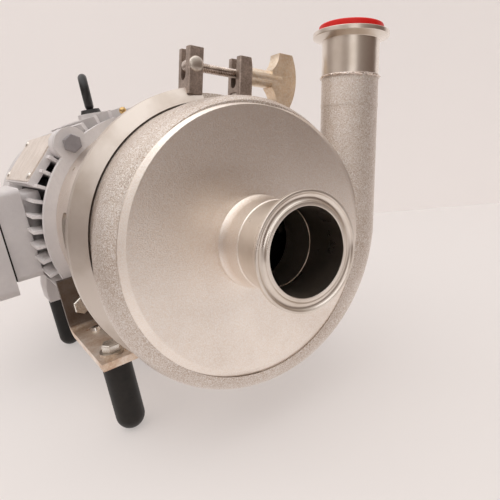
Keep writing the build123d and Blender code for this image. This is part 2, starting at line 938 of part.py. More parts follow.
def clamp_jaw(side):
    """Slotted block that sits astride the band's end: side is -1 for the left jaw and 1 for the right jaw."""
    inner_x = side * jaw_half_gap
    outer_x = side * jaw_outer
    with BuildPart(mode=Mode.PRIVATE) as jaw:
        with BuildSketch(across(jaw_back_y, clamp_turn)):
            with BuildLine():
                if side > 0:
                    seat_top = sqrt(seat_from_pivot**2 - (jaw_top - rod_height) ** 2) - pivot_x
                    Polyline(
                        (outer_x, rod_height),
                        (outer_x, jaw_foot),
                        (inner_x, jaw_foot),
                        (inner_x, jaw_top),
                        (seat_top, jaw_top),
                    )
                    seat_arc = degrees(atan2(jaw_top - rod_height, seat_top + pivot_x))
                    CenterArc((-pivot_x, rod_height), seat_from_pivot, 0, seat_arc)
                else:
                    Polyline(
                        (inner_x, jaw_foot), (outer_x, jaw_foot), (outer_x, jaw_top), (inner_x, jaw_top), close=True
                    )
            make_face()
        extrude(amount=jaw_depth)
        fillet(jaw.edges().filter_by(Axis((0, 0, 0), clamp_up)), jaw_round)
        with BuildSketch(Plane(origin=(0, joint_y, 0), x_dir=(0, 1, 0), z_dir=clamp_right)):
            with Locations((0, slot_bottom + slot_width / 2)):
                Circle(slot_width / 2)
                Rectangle(slot_width, jaw_top, align=(Align.CENTER, Align.MIN))
        extrude(amount=jaw_outer + 2, both=True, mode=Mode.SUBTRACT)
        if side < 0:
            with BuildSketch(across(joint_y, clamp_turn)):
                with Locations((-pivot_x, rod_height)):
                    Circle(pivot_pin_r)
            extrude(amount=jaw_depth, both=True, mode=Mode.SUBTRACT)
        revolve(lathe(band_outline()), axis=suction_axis, mode=Mode.SUBTRACT)
        revolve(lathe(grip_space()), axis=suction_axis, mode=Mode.SUBTRACT)
    return jaw.part


with BuildPart() as clamp_half_left:
    add(clamp_half(-1))
clamp_half_left.part.label = "clamp_half_left"
export_step(clamp_half_left.part, "parts/clamp_half_left.step")

with BuildPart() as clamp_half_right:
    add(clamp_half(1))
clamp_half_right.part.label = "clamp_half_right"
export_step(clamp_half_right.part, "parts/clamp_half_right.step")

with BuildPart() as clamp_jaw_left:
    add(clamp_jaw(-1))
clamp_jaw_left.part.label = "clamp_jaw_left"
export_step(clamp_jaw_left.part, "parts/clamp_jaw_left.step")

with BuildPart() as clamp_jaw_right:
    add(clamp_jaw(1))
clamp_jaw_right.part.label = "clamp_jaw_right"
export_step(clamp_jaw_right.part, "parts/clamp_jaw_right.step")

# Hinge pin at the bottom of the clamp
with BuildPart() as clamp_hinge_pin:
    with BuildSketch(across(joint_y, clamp_turn)):
        with Locations((0, -hinge_height)):
            Circle(hinge_pin_r)
    extrude(amount=hinge_centre_width / 2 + hinge_side_gap + hinge_side_width + 0.6, both=True)
clamp_hinge_pin.part.label = "clamp_hinge_pin"
export_step(clamp_hinge_pin.part, "parts/clamp_hinge_pin.step")

# Pivot pin in the left jaw, with a thin domed head in front
with BuildPart() as clamp_pivot_pin:
    with BuildSketch(across(jaw_back_y, clamp_turn)):
        with Locations((-pivot_x, rod_height)):
            Circle(pivot_pin_r)
    extrude(amount=jaw_depth)
    with BuildSketch(across(jaw_front_y, clamp_turn)):
        with Locations((-pivot_x, rod_height)):
            Circle(pin_head_r)
    extrude(amount=pin_head_thickness)
    chamfer(clamp_pivot_pin.faces().sort_by(Axis.Y)[0].edges(), pin_head_thickness * 0.5)
clamp_pivot_pin.part.label = "clamp_pivot_pin"
export_step(clamp_pivot_pin.part, "parts/clamp_pivot_pin.step")

# Swing bolt: an eye round the pivot pin and a rod to the right
with BuildPart() as swing_bolt:
    with BuildSketch(across(joint_y, clamp_turn)):
        with Locations((-pivot_x, rod_height)):
            Circle(eye_r)
    extrude(amount=slot_width / 2 - slide_gap, both=True)
    with BuildSketch(Plane(origin=pivot_point, z_dir=clamp_right)):
        Circle(rod_r)
    extrude(amount=pivot_x + rod_end)
    chamfer(swing_bolt.faces().sort_by(Axis((0, 0, 0), clamp_right))[-1].edges(), rod_r * 0.2)
    with BuildSketch(across(joint_y, clamp_turn)):
        with Locations((-pivot_x, rod_height)):
            Circle(pivot_pin_r + turning_gap)
    extrude(amount=slot_width, both=True, mode=Mode.SUBTRACT)
swing_bolt.part.label = "swing_bolt"
export_step(swing_bolt.part, "parts/swing_bolt.step")

# Hand nut: a round neck that flares into a flat T-shaped grip
nut_start_x = jaw_outer + nut_seat_gap
neck_end_x = jaw_outer + nut_neck_length
nut_end_x = neck_end_x + nut_head_length
nut_seat_point = clamp_up * rod_height + clamp_right * nut_start_x + Vector(0, joint_y, 0)
with BuildPart() as wing_nut:
    with BuildSketch(Plane(origin=nut_seat_point, z_dir=clamp_right)):
        Circle(nut_neck_r)
    extrude(amount=neck_end_x - nut_start_x + nut_head_length * 0.4)
    with BuildSketch(across(joint_y, clamp_turn)):
        with BuildLine():
            for facing in (-1, 1):
                ThreePointArc(
                    (neck_end_x, rod_height + facing * nut_neck_r),
                    (neck_end_x + nut_flare * 0.7, rod_height + facing * (nut_neck_r + nut_half_height) * 0.45),
                    (neck_end_x + nut_flare, rod_height + facing * nut_half_height),
                )
                Line(
                    (neck_end_x + nut_flare, rod_height + facing * nut_half_height),
                    (neck_end_x + nut_flare + nut_tip, rod_height + facing * nut_half_height),
                )
            Line((neck_end_x, rod_height - nut_neck_r), (neck_end_x, rod_height + nut_neck_r))
            ThreePointArc(
                (neck_end_x + nut_flare + nut_tip, rod_height - nut_half_height),
                (nut_end_x, rod_height),
                (neck_end_x + nut_flare + nut_tip, rod_height + nut_half_height),
            )
        make_face()
    extrude(amount=nut_thickness / 2, both=True)
    with BuildSketch(Plane(origin=nut_seat_point, z_dir=clamp_right)):
        Circle(rod_r + turning_gap)
    extrude(amount=rod_end - nut_start_x + 0.5, mode=Mode.SUBTRACT)
wing_nut.part.label = "wing_nut"
export_step(wing_nut.part, "parts/wing_nut.step")

# Backplate screws behind the lantern's front wall
backplate_screw_y = lantern_front_y + lantern_front_thickness
with BuildPart() as backplate_screws:
    with BuildSketch(across(backplate_screw_y)):
        with PolarLocations(backplate_screw_r, 4, start_angle=45):
            Circle(screw_shank_r)
    extrude(amount=lantern_front_thickness + 6)
    with BuildSketch(across(backplate_screw_y)):
        with PolarLocations(backplate_screw_r, 4, start_angle=45):
            Circle(screw_head_r)
    extrude(amount=-screw_head_height)
    with BuildSketch(across(backplate_screw_y + screw_head_height)):
        with PolarLocations(backplate_screw_r, 4, start_angle=45):
            RegularPolygon(screw_head_r * 0.5, 6)
    extrude(amount=screw_head_height * 0.5, mode=Mode.SUBTRACT)
backplate_screws.part.label = "backplate_screws"
export_step(backplate_screws.part, "parts/backplate_screws.step")

# Motor front end shield: flange, spigot, bearing hub and four bolt lugs
shield_back_y = lantern_rear_y + motor_flange_thickness
bearing_start_y = shield_back_y + 6
with BuildPart() as motor_front_shield:
    revolve(
        lathe(
            [
                (motor_shaft_r + 2, lantern_rear_y),
                (motor_flange_r, lantern_rear_y),
                (motor_flange_r, shield_back_y),
                (frame_inner_r, shield_back_y),
                (frame_inner_r, shield_back_y + 8),
                (frame_inner_r - 6, shield_back_y + 8),
                (frame_inner_r - 6, shield_back_y),
                (bearing_outer_r + 7, shield_back_y),
                (bearing_outer_r + 7, bearing_start_y + bearing_width + 2),
                (bearing_outer_r, bearing_start_y + bearing_width + 2),
                (bearing_outer_r, bearing_start_y),
                (motor_shaft_r + 2, bearing_start_y),
            ]
        ),
        axis=suction_axis,
    )
    with BuildSketch(across(lantern_rear_y)):
        with Locations((-lug_x, lug_z), (lug_x, lug_z)):
            Circle(lug_r)
        with Locations((-foot_lug_x, -foot_lug_z), (foot_lug_x, -foot_lug_z)):
            Circle(foot_lug_r)
    extrude(amount=-motor_flange_thickness)
    with BuildSketch(across(lantern_rear_y)):
        with Locations((-foot_lug_x, -foot_lug_z), (foot_lug_x, -foot_lug_z)):
            Circle(bolt_shank_r)
        with Locations((-lug_x, lug_z), (lug_x, lug_z)):
            Circle(bolt_shank_r + hole_gap)
        with PolarLocations(lantern_bolt_r, 4, start_angle=45):
            Circle(screw_shank_r)
    extrude(amount=-motor_flange_thickness, mode=Mode.SUBTRACT)
motor_front_shield.part.label = "motor_front_shield"
export_step(motor_front_shield.part, "parts/motor_front_shield.step")

# Lantern bolts inside the lantern's rear ring
with BuildPart() as lantern_bolts:
    for number in range(4):
        seat = Vector(0, lantern_rear_y - lantern_rear_thickness, 0)
        spot = direction(0, 45 + number * 90) * lantern_bolt_r + seat
        add(
            hex_bolt(
                Plane(origin=spot, z_dir=(0, -1, 0)),
                lantern_rear_thickness + motor_flange_thickness - 1,
                head_r=screw_head_r,
                head=screw_head_height,
                shank=screw_shank_r,
            )
        )
lantern_bolts.part.label = "lantern_bolts"
export_step(lantern_bolts.part, "parts/lantern_bolts.step")

# Motor frame: tube with cooling fins, bolt bosses, box seat, plate pad, eyebolt boss and rear foot pads
plate_out = direction(0, plate_angle)
plate_along = direction(0, plate_angle - 90)
rivet_span = (plate_end_y - plate_start_y - 2 * plate_rivet_end, plate_height - 2 * plate_rivet_side)
rear_foot_bottom = bracket_top - bracket_thickness
with BuildPart() as motor_frame:
    with BuildSketch(across(shield_back_y + fin_end_gap)):
        with PolarLocations((frame_core_r + fin_tip_r) / 2 - 1, fin_count):
            Rectangle(fin_tip_r - frame_core_r + 2, fin_thickness)
    extrude(amount=shield_back_y + 2 * fin_end_gap - frame_end_y)
    revolve(
        lathe(
            [
                (frame_inner_r, shield_back_y),
                (frame_core_r, shield_back_y),
                (frame_core_r, frame_end_y),
                (frame_inner_r, frame_end_y),
            ]
        ),
        axis=suction_axis,
    )
    with BuildSketch(Plane.YZ.offset(-box_face_x + box_depth)):
        with Locations((box_start_y - 1, (box_bottom + box_top) / 2)):
            Rectangle(
                box_end_y - box_start_y + gland_length + 4,
                box_top - box_bottom + 2,
                align=(Align.MIN, Align.CENTER),
            )
    extrude(amount=-box_depth, mode=Mode.SUBTRACT)
    with BuildSketch(across(shield_back_y)):
        with Locations((-lug_x, lug_z), (lug_x, lug_z)):
            Circle(lug_r)
    extrude(amount=-lug_length)
    with BuildSketch(Plane.YZ.offset(-box_face_x + box_depth)):
        with Locations(((box_start_y + box_end_y) / 2, (box_bottom + box_top) / 2)):
            RectangleRounded(box_end_y - box_start_y - 16, box_top - box_bottom - 12, 6)
    extrude(amount=box_face_x - box_depth - box_root_x)
    pad_plane = Plane(origin=plate_out * (plate_seat_r - plate_pad), x_dir=plate_along, z_dir=plate_out)
    with BuildSketch(pad_plane):
        with Locations((0, (plate_start_y + plate_end_y) / 2)):
            Rectangle(plate_height + 3, plate_end_y - plate_start_y + 3)
    extrude(amount=plate_pad)
    with BuildSketch(Plane.XY.offset(frame_inner_r + cast_root)):
        with Locations((0, eyebolt_y)):
            Circle(eye_collar_r + 3)
    extrude(amount=eyebolt_seat - frame_inner_r - cast_root)
    with BuildSketch(Plane.XZ.offset(-(rear_leg_y - rear_pad_length / 2))):
        for side in (-1, 1):
            with BuildLine():
                Polyline(
                    (side * (rear_leg_x - rear_pad_inside), rear_foot_bottom),
                    (side * (rear_leg_x + rear_pad_outside), rear_foot_bottom),
                    (side * (rear_leg_x + rear_pad_outside), rear_foot_bottom + rear_pad_thickness),
                    (side * (frame_core_r - cast_root), -rear_pad_root),
                    (side * (rear_leg_x - rear_pad_inside), -rear_pad_knee),
                    close=True,
                )
            make_face()
    extrude(amount=-rear_pad_length)
    with BuildSketch(across(shield_back_y)):
        Circle(frame_inner_r)
    extrude(amount=shield_back_y - frame_end_y, mode=Mode.SUBTRACT)
    with BuildSketch(Plane.XY.offset(rear_foot_bottom)):
        with Locations((-rear_leg_x, rear_leg_y), (rear_leg_x, rear_leg_y)):
            Circle(leg_r + hole_gap)
    extrude(amount=-fin_height * 2, mode=Mode.SUBTRACT)
    with BuildSketch(across(shield_back_y)):
        with Locations((-lug_x, lug_z), (lug_x, lug_z)):
            Circle(bolt_shank_r)
    extrude(amount=-lug_length + 4, mode=Mode.SUBTRACT)
    with BuildSketch(across(frame_end_y)):
        with PolarLocations(rear_screw_r, 4, start_angle=45):
            Circle(screw_shank_r)
    extrude(amount=rear_screw_depth, mode=Mode.SUBTRACT)
    with BuildSketch(Plane.XY.offset(eyebolt_seat)):
        with Locations((0, eyebolt_y)):
            Circle(eye_thread_r)
    extrude(amount=-eye_thread_length, mode=Mode.SUBTRACT)
    with BuildSketch(Plane.XY.offset(rear_foot_bottom)):
        with Locations((-rear_leg_x, rear_leg_y), (rear_leg_x, rear_leg_y)):
            Circle(bolt_shank_r)
    extrude(amount=rear_stud_depth, mode=Mode.SUBTRACT)
    with BuildSketch(Plane(origin=plate_out * plate_seat_r, x_dir=plate_along, z_dir=plate_out)):
        with Locations((0, (plate_start_y + plate_end_y) / 2)):
            with GridLocations(rivet_span[1], rivet_span[0], 2, 2):
                Circle(rivet_r)
    extrude(amount=-rivet_depth, mode=Mode.SUBTRACT)
motor_frame.part.label = "motor_frame"
export_step(motor_frame.part, "parts/motor_frame.step")

# Tie bolts in the front lugs
with BuildPart() as tie_bolts:
    for side in (-1, 1):
        add(
            hex_bolt(
                Plane(origin=(side * lug_x, lantern_rear_y, lug_z), z_dir=(0, -1, 0)),
                motor_flange_thickness + lug_length - 6,
            )
        )
tie_bolts.part.label = "tie_bolts"
export_step(tie_bolts.part, "parts/tie_bolts.step")

# Rear end shield, its screws, and the two bearings
rear_shield_end_y = frame_end_y + rear_shield_thickness
rear_bearing_y = frame_end_y - 8
with BuildPart() as motor_rear_shield:
    revolve(
        lathe(
            [
                (motor_shaft_r + 2, rear_shield_end_y),
                (cowl_r - cowl_wall, rear_shield_end_y),
                (cowl_r - cowl_wall, frame_end_y + 3),
                (frame_core_r, frame_end_y),
                (frame_inner_r, frame_end_y),
                (frame_inner_r, frame_end_y - 8),
                (frame_inner_r - 6, frame_end_y - 8),
                (frame_inner_r - 6, frame_end_y),
                (bearing_outer_r + 7, frame_end_y),
                (bearing_outer_r + 7, rear_bearing_y - 2),
                (bearing_outer_r, rear_bearing_y - 2),
                (bearing_outer_r, rear_bearing_y + bearing_width),
                (motor_shaft_r + 2, rear_bearing_y + bearing_width),
            ]
        ),
        axis=suction_axis,
    )
    with BuildSketch(across(rear_shield_end_y)):
        with PolarLocations(rear_screw_r, 4, start_angle=45):
            Circle(screw_shank_r)
    extrude(amount=rear_shield_thickness + 2, mode=Mode.SUBTRACT)
    for number in range(4):
        out = direction(0, 45 + number * 90)
        with BuildSketch(Plane(origin=out * cowl_r + Vector(0, cowl_screw_y, 0), z_dir=out)):
            Circle(rivet_r)
        extrude(amount=-cowl_wall - 6, mode=Mode.SUBTRACT)
motor_rear_shield.part.label = "motor_rear_shield"
export_step(motor_rear_shield.part, "parts/motor_rear_shield.step")

with BuildPart() as rear_shield_screws:
    for number in range(4):
        spot = direction(0, 45 + number * 90) * rear_screw_r + Vector(0, rear_shield_end_y, 0)
        add(
            hex_bolt(
                Plane(origin=spot, z_dir=(0, 1, 0)),
                rear_shield_thickness + rear_screw_depth - 2,
                head_r=screw_head_r,
                head=screw_head_height,
                shank=screw_shank_r,
            )
        )
rear_shield_screws.part.label = "rear_shield_screws"
export_step(rear_shield_screws.part, "parts/rear_shield_screws.step")


def bearing(start):
    """Ball bearing drawn as a grooved ring, with a running gap round the shaft."""
    bore = motor_shaft_r + turning_gap
    groove = (bore + bearing_outer_r) / 2
    with BuildPart(mode=Mode.PRIVATE) as ring:
        revolve(
            lathe(
                [
                    (bore, start),
                    (groove - 3, start),
                    (groove - 3, start + 1.5),
                    (groove + 3, start + 1.5),
                    (groove + 3, start),
                    (bearing_outer_r, start),
                    (bearing_outer_r, start + bearing_width),
                    (bore, start + bearing_width),
                ]
            ),
            axis=suction_axis,
        )
    return ring.part


with BuildPart() as front_bearing:
    add(bearing(bearing_start_y))
front_bearing.part.label = "front_bearing"
export_step(front_bearing.part, "parts/front_bearing.step")

with BuildPart() as rear_bearing:
    add(bearing(rear_bearing_y))
rear_bearing.part.label = "rear_bearing"
export_step(rear_bearing.part, "parts/rear_bearing.step")

# Stator core and windings
slot_centre_r = stator_inner_r + 3 + winding_slot_depth / 2
with BuildPart() as stator_core:
    with BuildSketch(across(stator_start_y)):
        Circle(frame_inner_r)
        Circle(stator_inner_r, mode=Mode.SUBTRACT)
        with PolarLocations(slot_centre_r, stator_slots):
            Rectangle(winding_slot_depth, winding_slot_width, mode=Mode.SUBTRACT)
    extrude(amount=stator_start_y - stator_end_y)
stator_core.part.label = "stator_core"
export_step(stator_core.part, "parts/stator_core.step")

with BuildPart() as stator_windings:
    with BuildSketch(across(stator_start_y)):
        with PolarLocations(slot_centre_r, stator_slots):
            Rectangle(winding_slot_depth, winding_slot_width)
    extrude(amount=stator_start_y - stator_end_y)
    for near, way in ((stator_start_y, -1), (stator_end_y, 1)):
        far = near + way * winding_length
        step = (far - near) * 0.25
        revolve(
            lathe(
                [
                    (stator_inner_r + 2, near),
                    (winding_r, near),
                    (winding_r + 2, near + step),
                    (winding_r, far),
                    (stator_inner_r + 6, far),
                    (stator_inner_r + 2, near + 2 * step),
                ]
            ),
            axis=suction_axis,
        )
stator_windings.part.label = "stator_windings"
export_step(stator_windings.part, "parts/stator_windings.step")

# Rotor core and motor shaft
with BuildPart() as rotor_core:
    with BuildSketch(across(stator_start_y)):
        Circle(stator_inner_r - rotor_gap)
        Circle(motor_shaft_r, mode=Mode.SUBTRACT)
    extrude(amount=stator_start_y - stator_end_y)
rotor_core.part.label = "rotor_core"
export_step(rotor_core.part, "parts/rotor_core.step")

with BuildPart() as motor_shaft:
    with BuildSketch(across(motor_shaft_start_y)):
        Circle(motor_shaft_r)
    extrude(amount=motor_shaft_start_y - motor_shaft_end_y)
    chamfer(motor_shaft.faces().sort_by(Axis.Y)[-1].edges(), 1.0)
motor_shaft.part.label = "motor_shaft"
export_step(motor_shaft.part, "parts/motor_shaft.step")

# Cooling fan
with BuildPart() as cooling_fan:
    with BuildSketch(across(fan_start_y)):
        Circle(fan_hub_r)
    extrude(amount=-fan_width)
    with BuildSketch(across(fan_start_y)):
        Circle(fan_r - 4)
    extrude(amount=-2)
    with BuildSketch(across(fan_start_y)):
        with PolarLocations((fan_hub_r + fan_r) / 2 - 1, fan_blades):
            Rectangle(fan_r - fan_hub_r + 2, 2.4)
    extrude(amount=-fan_width)
    with BuildSketch(across(fan_start_y)):
        Circle(motor_shaft_r)
    extrude(amount=-fan_width, mode=Mode.SUBTRACT)
cooling_fan.part.label = "cooling_fan"
export_step(cooling_fan.part, "parts/cooling_fan.step")

# Fan cowl with rings of air slots in its rear wall
with BuildPart() as fan_cowl:
    revolve(
        lathe(
            [
                (cowl_r - cowl_wall, cowl_start_y),
                (cowl_r, cowl_start_y),
                (cowl_r, cowl_end_y - cowl_corner),
                (cowl_r - cowl_corner, cowl_end_y),
                (0, cowl_end_y),
                (0, cowl_end_y - cowl_wall),
                (cowl_r - cowl_corner - cowl_wall * 0.4, cowl_end_y - cowl_wall),
                (cowl_r - cowl_wall, cowl_end_y - cowl_corner - cowl_wall * 0.4),
            ]
        ),
        axis=suction_axis,
    )
    with BuildSketch(across(cowl_end_y + 1)):
        for ring in range(3):
            with PolarLocations(26 + ring * 18, 8 + ring * 6):
                SlotOverall(15, 6)
    extrude(amount=cowl_wall + 2, mode=Mode.SUBTRACT)
    for number in range(4):
        out = direction(0, 45 + number * 90)
        with BuildSketch(Plane(origin=out * (cowl_r + 1) + Vector(0, cowl_screw_y, 0), z_dir=out)):
            Circle(rivet_r)
        extrude(amount=-cowl_wall - 3, mode=Mode.SUBTRACT)
fan_cowl.part.label = "fan_cowl"
export_step(fan_cowl.part, "parts/fan_cowl.step")

with BuildPart() as cowl_screws:
    for number in range(4):
        out = direction(0, 45 + number * 90)
        with BuildSketch(Plane(origin=out * (cowl_r + 0.1) + Vector(0, cowl_screw_y, 0), z_dir=out)):
            Circle(rivet_r)
        extrude(amount=-cowl_wall - 5)
        with BuildSketch(Plane(origin=out * (cowl_r + 0.1) + Vector(0, cowl_screw_y, 0), z_dir=out)):
            Circle(rivet_r * 2)
        extrude(amount=1.8)
cowl_screws.part.label = "cowl_screws"
export_step(cowl_screws.part, "parts/cowl_screws.step")

# Eyebolt
ring_centre_z = eyebolt_seat + eye_collar_height + eye_ring_r + eye_wire_r - 1
ring_normal = Vector(cos(radians(eye_turn)), -sin(radians(eye_turn)), 0)
with BuildPart() as eyebolt:
    with BuildSketch(Plane.XY.offset(eyebolt_seat)):
        with Locations((0, eyebolt_y)):
            Circle(eye_collar_r)
    extrude(amount=eye_collar_height, taper=18)
    with BuildSketch(Plane.XY.offset(eyebolt_seat)):
        with Locations((0, eyebolt_y)):
            Circle(eye_thread_r)
    extrude(amount=1 - eye_thread_length)
    with Locations(Plane(origin=(0, eyebolt_y, ring_centre_z), z_dir=ring_normal).location):
        Torus(eye_ring_r, eye_wire_r)
eyebolt.part.label = "eyebolt"
export_step(eyebolt.part, "parts/eyebolt.step")

# Bare rating plate and its rivets
with BuildPart() as nameplate:
    with BuildSketch(Plane(origin=plate_out * plate_seat_r, x_dir=plate_along, z_dir=plate_out)):
        with Locations((0, (plate_start_y + plate_end_y) / 2)):
            RectangleRounded(plate_height, plate_end_y - plate_start_y, 3)
            with GridLocations(rivet_span[1], rivet_span[0], 2, 2):
                Circle(rivet_r, mode=Mode.SUBTRACT)
    extrude(amount=plate_sheet)
nameplate.part.label = "nameplate"
export_step(nameplate.part, "parts/nameplate.step")

rivet_plane = Plane(origin=plate_out * (plate_seat_r + plate_sheet), x_dir=plate_along, z_dir=plate_out)
with BuildPart() as nameplate_rivets:
    with BuildSketch(rivet_plane):
        with Locations((0, (plate_start_y + plate_end_y) / 2)):
            with GridLocations(rivet_span[1], rivet_span[0], 2, 2):
                Circle(rivet_r * 1.8)
    extrude(amount=1.2, taper=25)
    with BuildSketch(rivet_plane):
        with Locations((0, (plate_start_y + plate_end_y) / 2)):
            with GridLocations(rivet_span[1], rivet_span[0], 2, 2):
                Circle(rivet_r)
    extrude(amount=-plate_sheet - rivet_depth + 0.5)
nameplate_rivets.part.label = "nameplate_rivets"
export_step(nameplate_rivets.part, "parts/nameplate_rivets.step")

# Terminal box: body on the frame's seat, gasket, deep lid, screws, terminal block and cable gland
box_mid_y = (box_start_y + box_end_y) / 2
box_mid_z = (box_bottom + box_top) / 2
box_length = box_end_y - box_start_y
box_height = box_top - box_bottom
box_back_x = box_face_x - box_depth


def box_cavity():
    """Inside outline of the box: a rectangle with a square post in each corner."""
    with BuildSketch(mode=Mode.PRIVATE) as cavity:
        Rectangle(box_length - 2 * box_wall, box_height - 2 * box_wall)
        with GridLocations(box_length - 2 * box_wall - box_post, box_height - 2 * box_wall - box_post, 2, 2):
            Rectangle(box_post, box_post, mode=Mode.SUBTRACT)
    return cavity.sketch


def box_plane(x):
    """Plane of the box at a distance to the left of the shaft, facing left, with local y up."""
    return Plane(origin=(-x, box_mid_y, box_mid_z), x_dir=(0, -1, 0), z_dir=(-1, 0, 0))


screw_span = (box_length - 2 * box_wall - box_post, box_height - 2 * box_wall - box_post)
lid_face_x = box_face_x + gasket_thickness
with BuildPart() as terminal_box:
    with BuildSketch(box_plane(box_back_x)):
        RectangleRounded(box_length, box_height, 5)
    extrude(amount=box_depth)
    with BuildSketch(box_plane(box_back_x + box_wall)):
        add(box_cavity())
    extrude(amount=box_depth, mode=Mode.SUBTRACT)
    with BuildSketch(box_plane(box_face_x)):
        with GridLocations(screw_span[0], screw_span[1], 2, 2):
            Circle(rivet_r)
    extrude(amount=-lid_screw_grip, mode=Mode.SUBTRACT)
    with BuildSketch(Plane.XZ.offset(-box_end_y)):
        with Locations((-box_back_x - box_depth / 2, box_mid_z)):
            Circle(gland_thread_r)
    extrude(amount=box_wall + 1, mode=Mode.SUBTRACT)
terminal_box.part.label = "terminal_box"
export_step(terminal_box.part, "parts/terminal_box.step")

with BuildPart() as terminal_gasket:
    with BuildSketch(box_plane(box_face_x)):
        RectangleRounded(box_length - 1, box_height - 1, 5)
        add(box_cavity(), mode=Mode.SUBTRACT)
        with GridLocations(screw_span[0], screw_span[1], 2, 2):
            Circle(rivet_r, mode=Mode.SUBTRACT)
    extrude(amount=gasket_thickness)
terminal_gasket.part.label = "terminal_gasket"
export_step(terminal_gasket.part, "parts/terminal_gasket.step")

with BuildPart() as terminal_lid:
    with BuildSketch(box_plane(lid_face_x)):
        with Locations((0, (lid_over_top - lid_over_bottom) / 2)):
            RectangleRounded(
                box_length + 2 * lid_over_side, box_height + lid_over_top + lid_over_bottom, lid_corner
            )
    extrude(amount=lid_depth)
    fillet(terminal_lid.faces().sort_by(Axis.X)[0].edges(), lid_round)
    with BuildSketch(box_plane(lid_face_x)):
        add(box_cavity())
    extrude(amount=lid_depth - lid_wall, mode=Mode.SUBTRACT)
    with BuildSketch(box_plane(lid_face_x)):
        with GridLocations(screw_span[0], screw_span[1], 2, 2):
            Circle(rivet_r + hole_gap)
    extrude(amount=lid_depth, mode=Mode.SUBTRACT)
terminal_lid.part.label = "terminal_lid"
export_step(terminal_lid.part, "parts/terminal_lid.step")

with BuildPart() as terminal_lid_screws:
    with BuildSketch(box_plane(lid_face_x + lid_depth)):
        with GridLocations(screw_span[0], screw_span[1], 2, 2):
            Circle(rivet_r)
    extrude(amount=-lid_depth - gasket_thickness - lid_screw_grip + 1)
    with BuildSketch(box_plane(lid_face_x + lid_depth)):
        with GridLocations(screw_span[0], screw_span[1], 2, 2):
            Circle(rivet_r * 2)
    extrude(amount=2.2, taper=12)
terminal_lid_screws.part.label = "terminal_lid_screws"
export_step(terminal_lid_screws.part, "parts/terminal_lid_screws.step")

with BuildPart() as terminal_block:
    with BuildSketch(box_plane(box_back_x + box_wall)):
        Rectangle(box_length * 0.5, box_height * 0.45)
    extrude(amount=7)
    with BuildSketch(box_plane(box_back_x + box_wall + 7)):
        with GridLocations(box_length * 0.15, box_height * 0.22, 3, 2):
            Circle(3)
    extrude(amount=6)
terminal_block.part.label = "terminal_block"
export_step(terminal_block.part, "parts/terminal_block.step")

gland_centre_x = -box_back_x - box_depth / 2
with BuildPart() as cable_gland:
    with BuildSketch(Plane.XZ.offset(-box_end_y)):
        with Locations((gland_centre_x, box_mid_z)):
            RegularPolygon(gland_r, 6, rotation=30)
    extrude(amount=-gland_length * 0.4)
    with BuildSketch(Plane.XZ.offset(-box_end_y)):
        with Locations((gland_centre_x, box_mid_z)):
            Circle(gland_r * 0.84)
    extrude(amount=-gland_length)
    fillet(cable_gland.faces().sort_by(Axis.Y)[-1].edges(), 2.5)
    with BuildSketch(Plane.XZ.offset(-box_end_y)):
        with Locations((gland_centre_x, box_mid_z)):
            Circle(gland_thread_r)
    extrude(amount=box_wall)
    with BuildSketch(Plane.XZ.offset(-box_end_y + box_wall)):
        with Locations((gland_centre_x, box_mid_z)):
            Circle(gland_bore_r)
    extrude(amount=-gland_length - box_wall, mode=Mode.SUBTRACT)
cable_gland.part.label = "cable_gland"
export_step(cable_gland.part, "parts/cable_gland.step")


# Front brackets: a bent plate on each side, bolted to the lower lugs of the front shield
def front_bracket(side):
    """Bent bracket: side is -1 for the left one and 1 for the right one."""
    bend_y = lantern_rear_y - bracket_thickness - bracket_bend_r
    bend_z = bracket_top + bracket_bend_r
    bottom = bracket_top - bracket_thickness
    with BuildPart(mode=Mode.PRIVATE) as bracket:
        with BuildSketch(Plane.YZ.offset(side * bracket_inner_x)):
            with BuildLine():
                Polyline(
                    (bend_y, bottom),
                    (bracket_front_y, bottom),
                    (bracket_front_y, bracket_top),
                    (bend_y, bracket_top),
                )
                CenterArc((bend_y, bend_z), bracket_bend_r, 270, 90)
                Polyline(
                    (lantern_rear_y - bracket_thickness, bend_z),
                    (lantern_rear_y - bracket_thickness, bracket_wall_top),
                    (lantern_rear_y, bracket_wall_top),
                    (lantern_rear_y, bend_z),
                )
                CenterArc((bend_y, bend_z), bracket_bend_r + bracket_thickness, 270, 90)
            make_face()
        extrude(amount=side * (bracket_outer_x - bracket_inner_x))
        with BuildSketch(across(0)):
            Circle(lantern_r + bracket_cut_gap)
        extrude(amount=-lantern_rear_y - 1, mode=Mode.SUBTRACT)
        with BuildSketch(across(lantern_rear_y + 1)):
            with Locations((side * foot_lug_x, -foot_lug_z)):
                Circle(bolt_shank_r + hole_gap)
        extrude(amount=bracket_thickness + 2, mode=Mode.SUBTRACT)
        with BuildSketch(Plane.XY.offset(bottom - 1)):
            with Locations((side * leg_x, bracket_front_y + leg_setback)):
                Circle(bolt_shank_r + hole_gap)
            if side < 0:
                with Locations((-earth_screw_x, earth_screw_y)):
                    Circle(rivet_r)
                with Locations((-earth_screw_x - 5, earth_screw_y + 5)):
                    Circle(1.6)
        extrude(amount=bracket_thickness + 2, mode=Mode.SUBTRACT)
    return bracket.part


with BuildPart() as bracket_left:
    add(front_bracket(-1))
bracket_left.part.label = "bracket_left"
export_step(bracket_left.part, "parts/bracket_left.step")

with BuildPart() as bracket_right:
    add(front_bracket(1))
bracket_right.part.label = "bracket_right"
export_step(bracket_right.part, "parts/bracket_right.step")

with BuildPart() as bracket_bolts:
    for side in (-1, 1):
        spot = (side * foot_lug_x, lantern_rear_y - bracket_thickness, -foot_lug_z)
        add(
            hex_bolt(
                Plane(origin=spot, z_dir=(0, -1, 0)),
                bracket_thickness + motor_flange_thickness,
            )
        )
bracket_bolts.part.label = "bracket_bolts"
export_step(bracket_bolts.part, "parts/bracket_bolts.step")

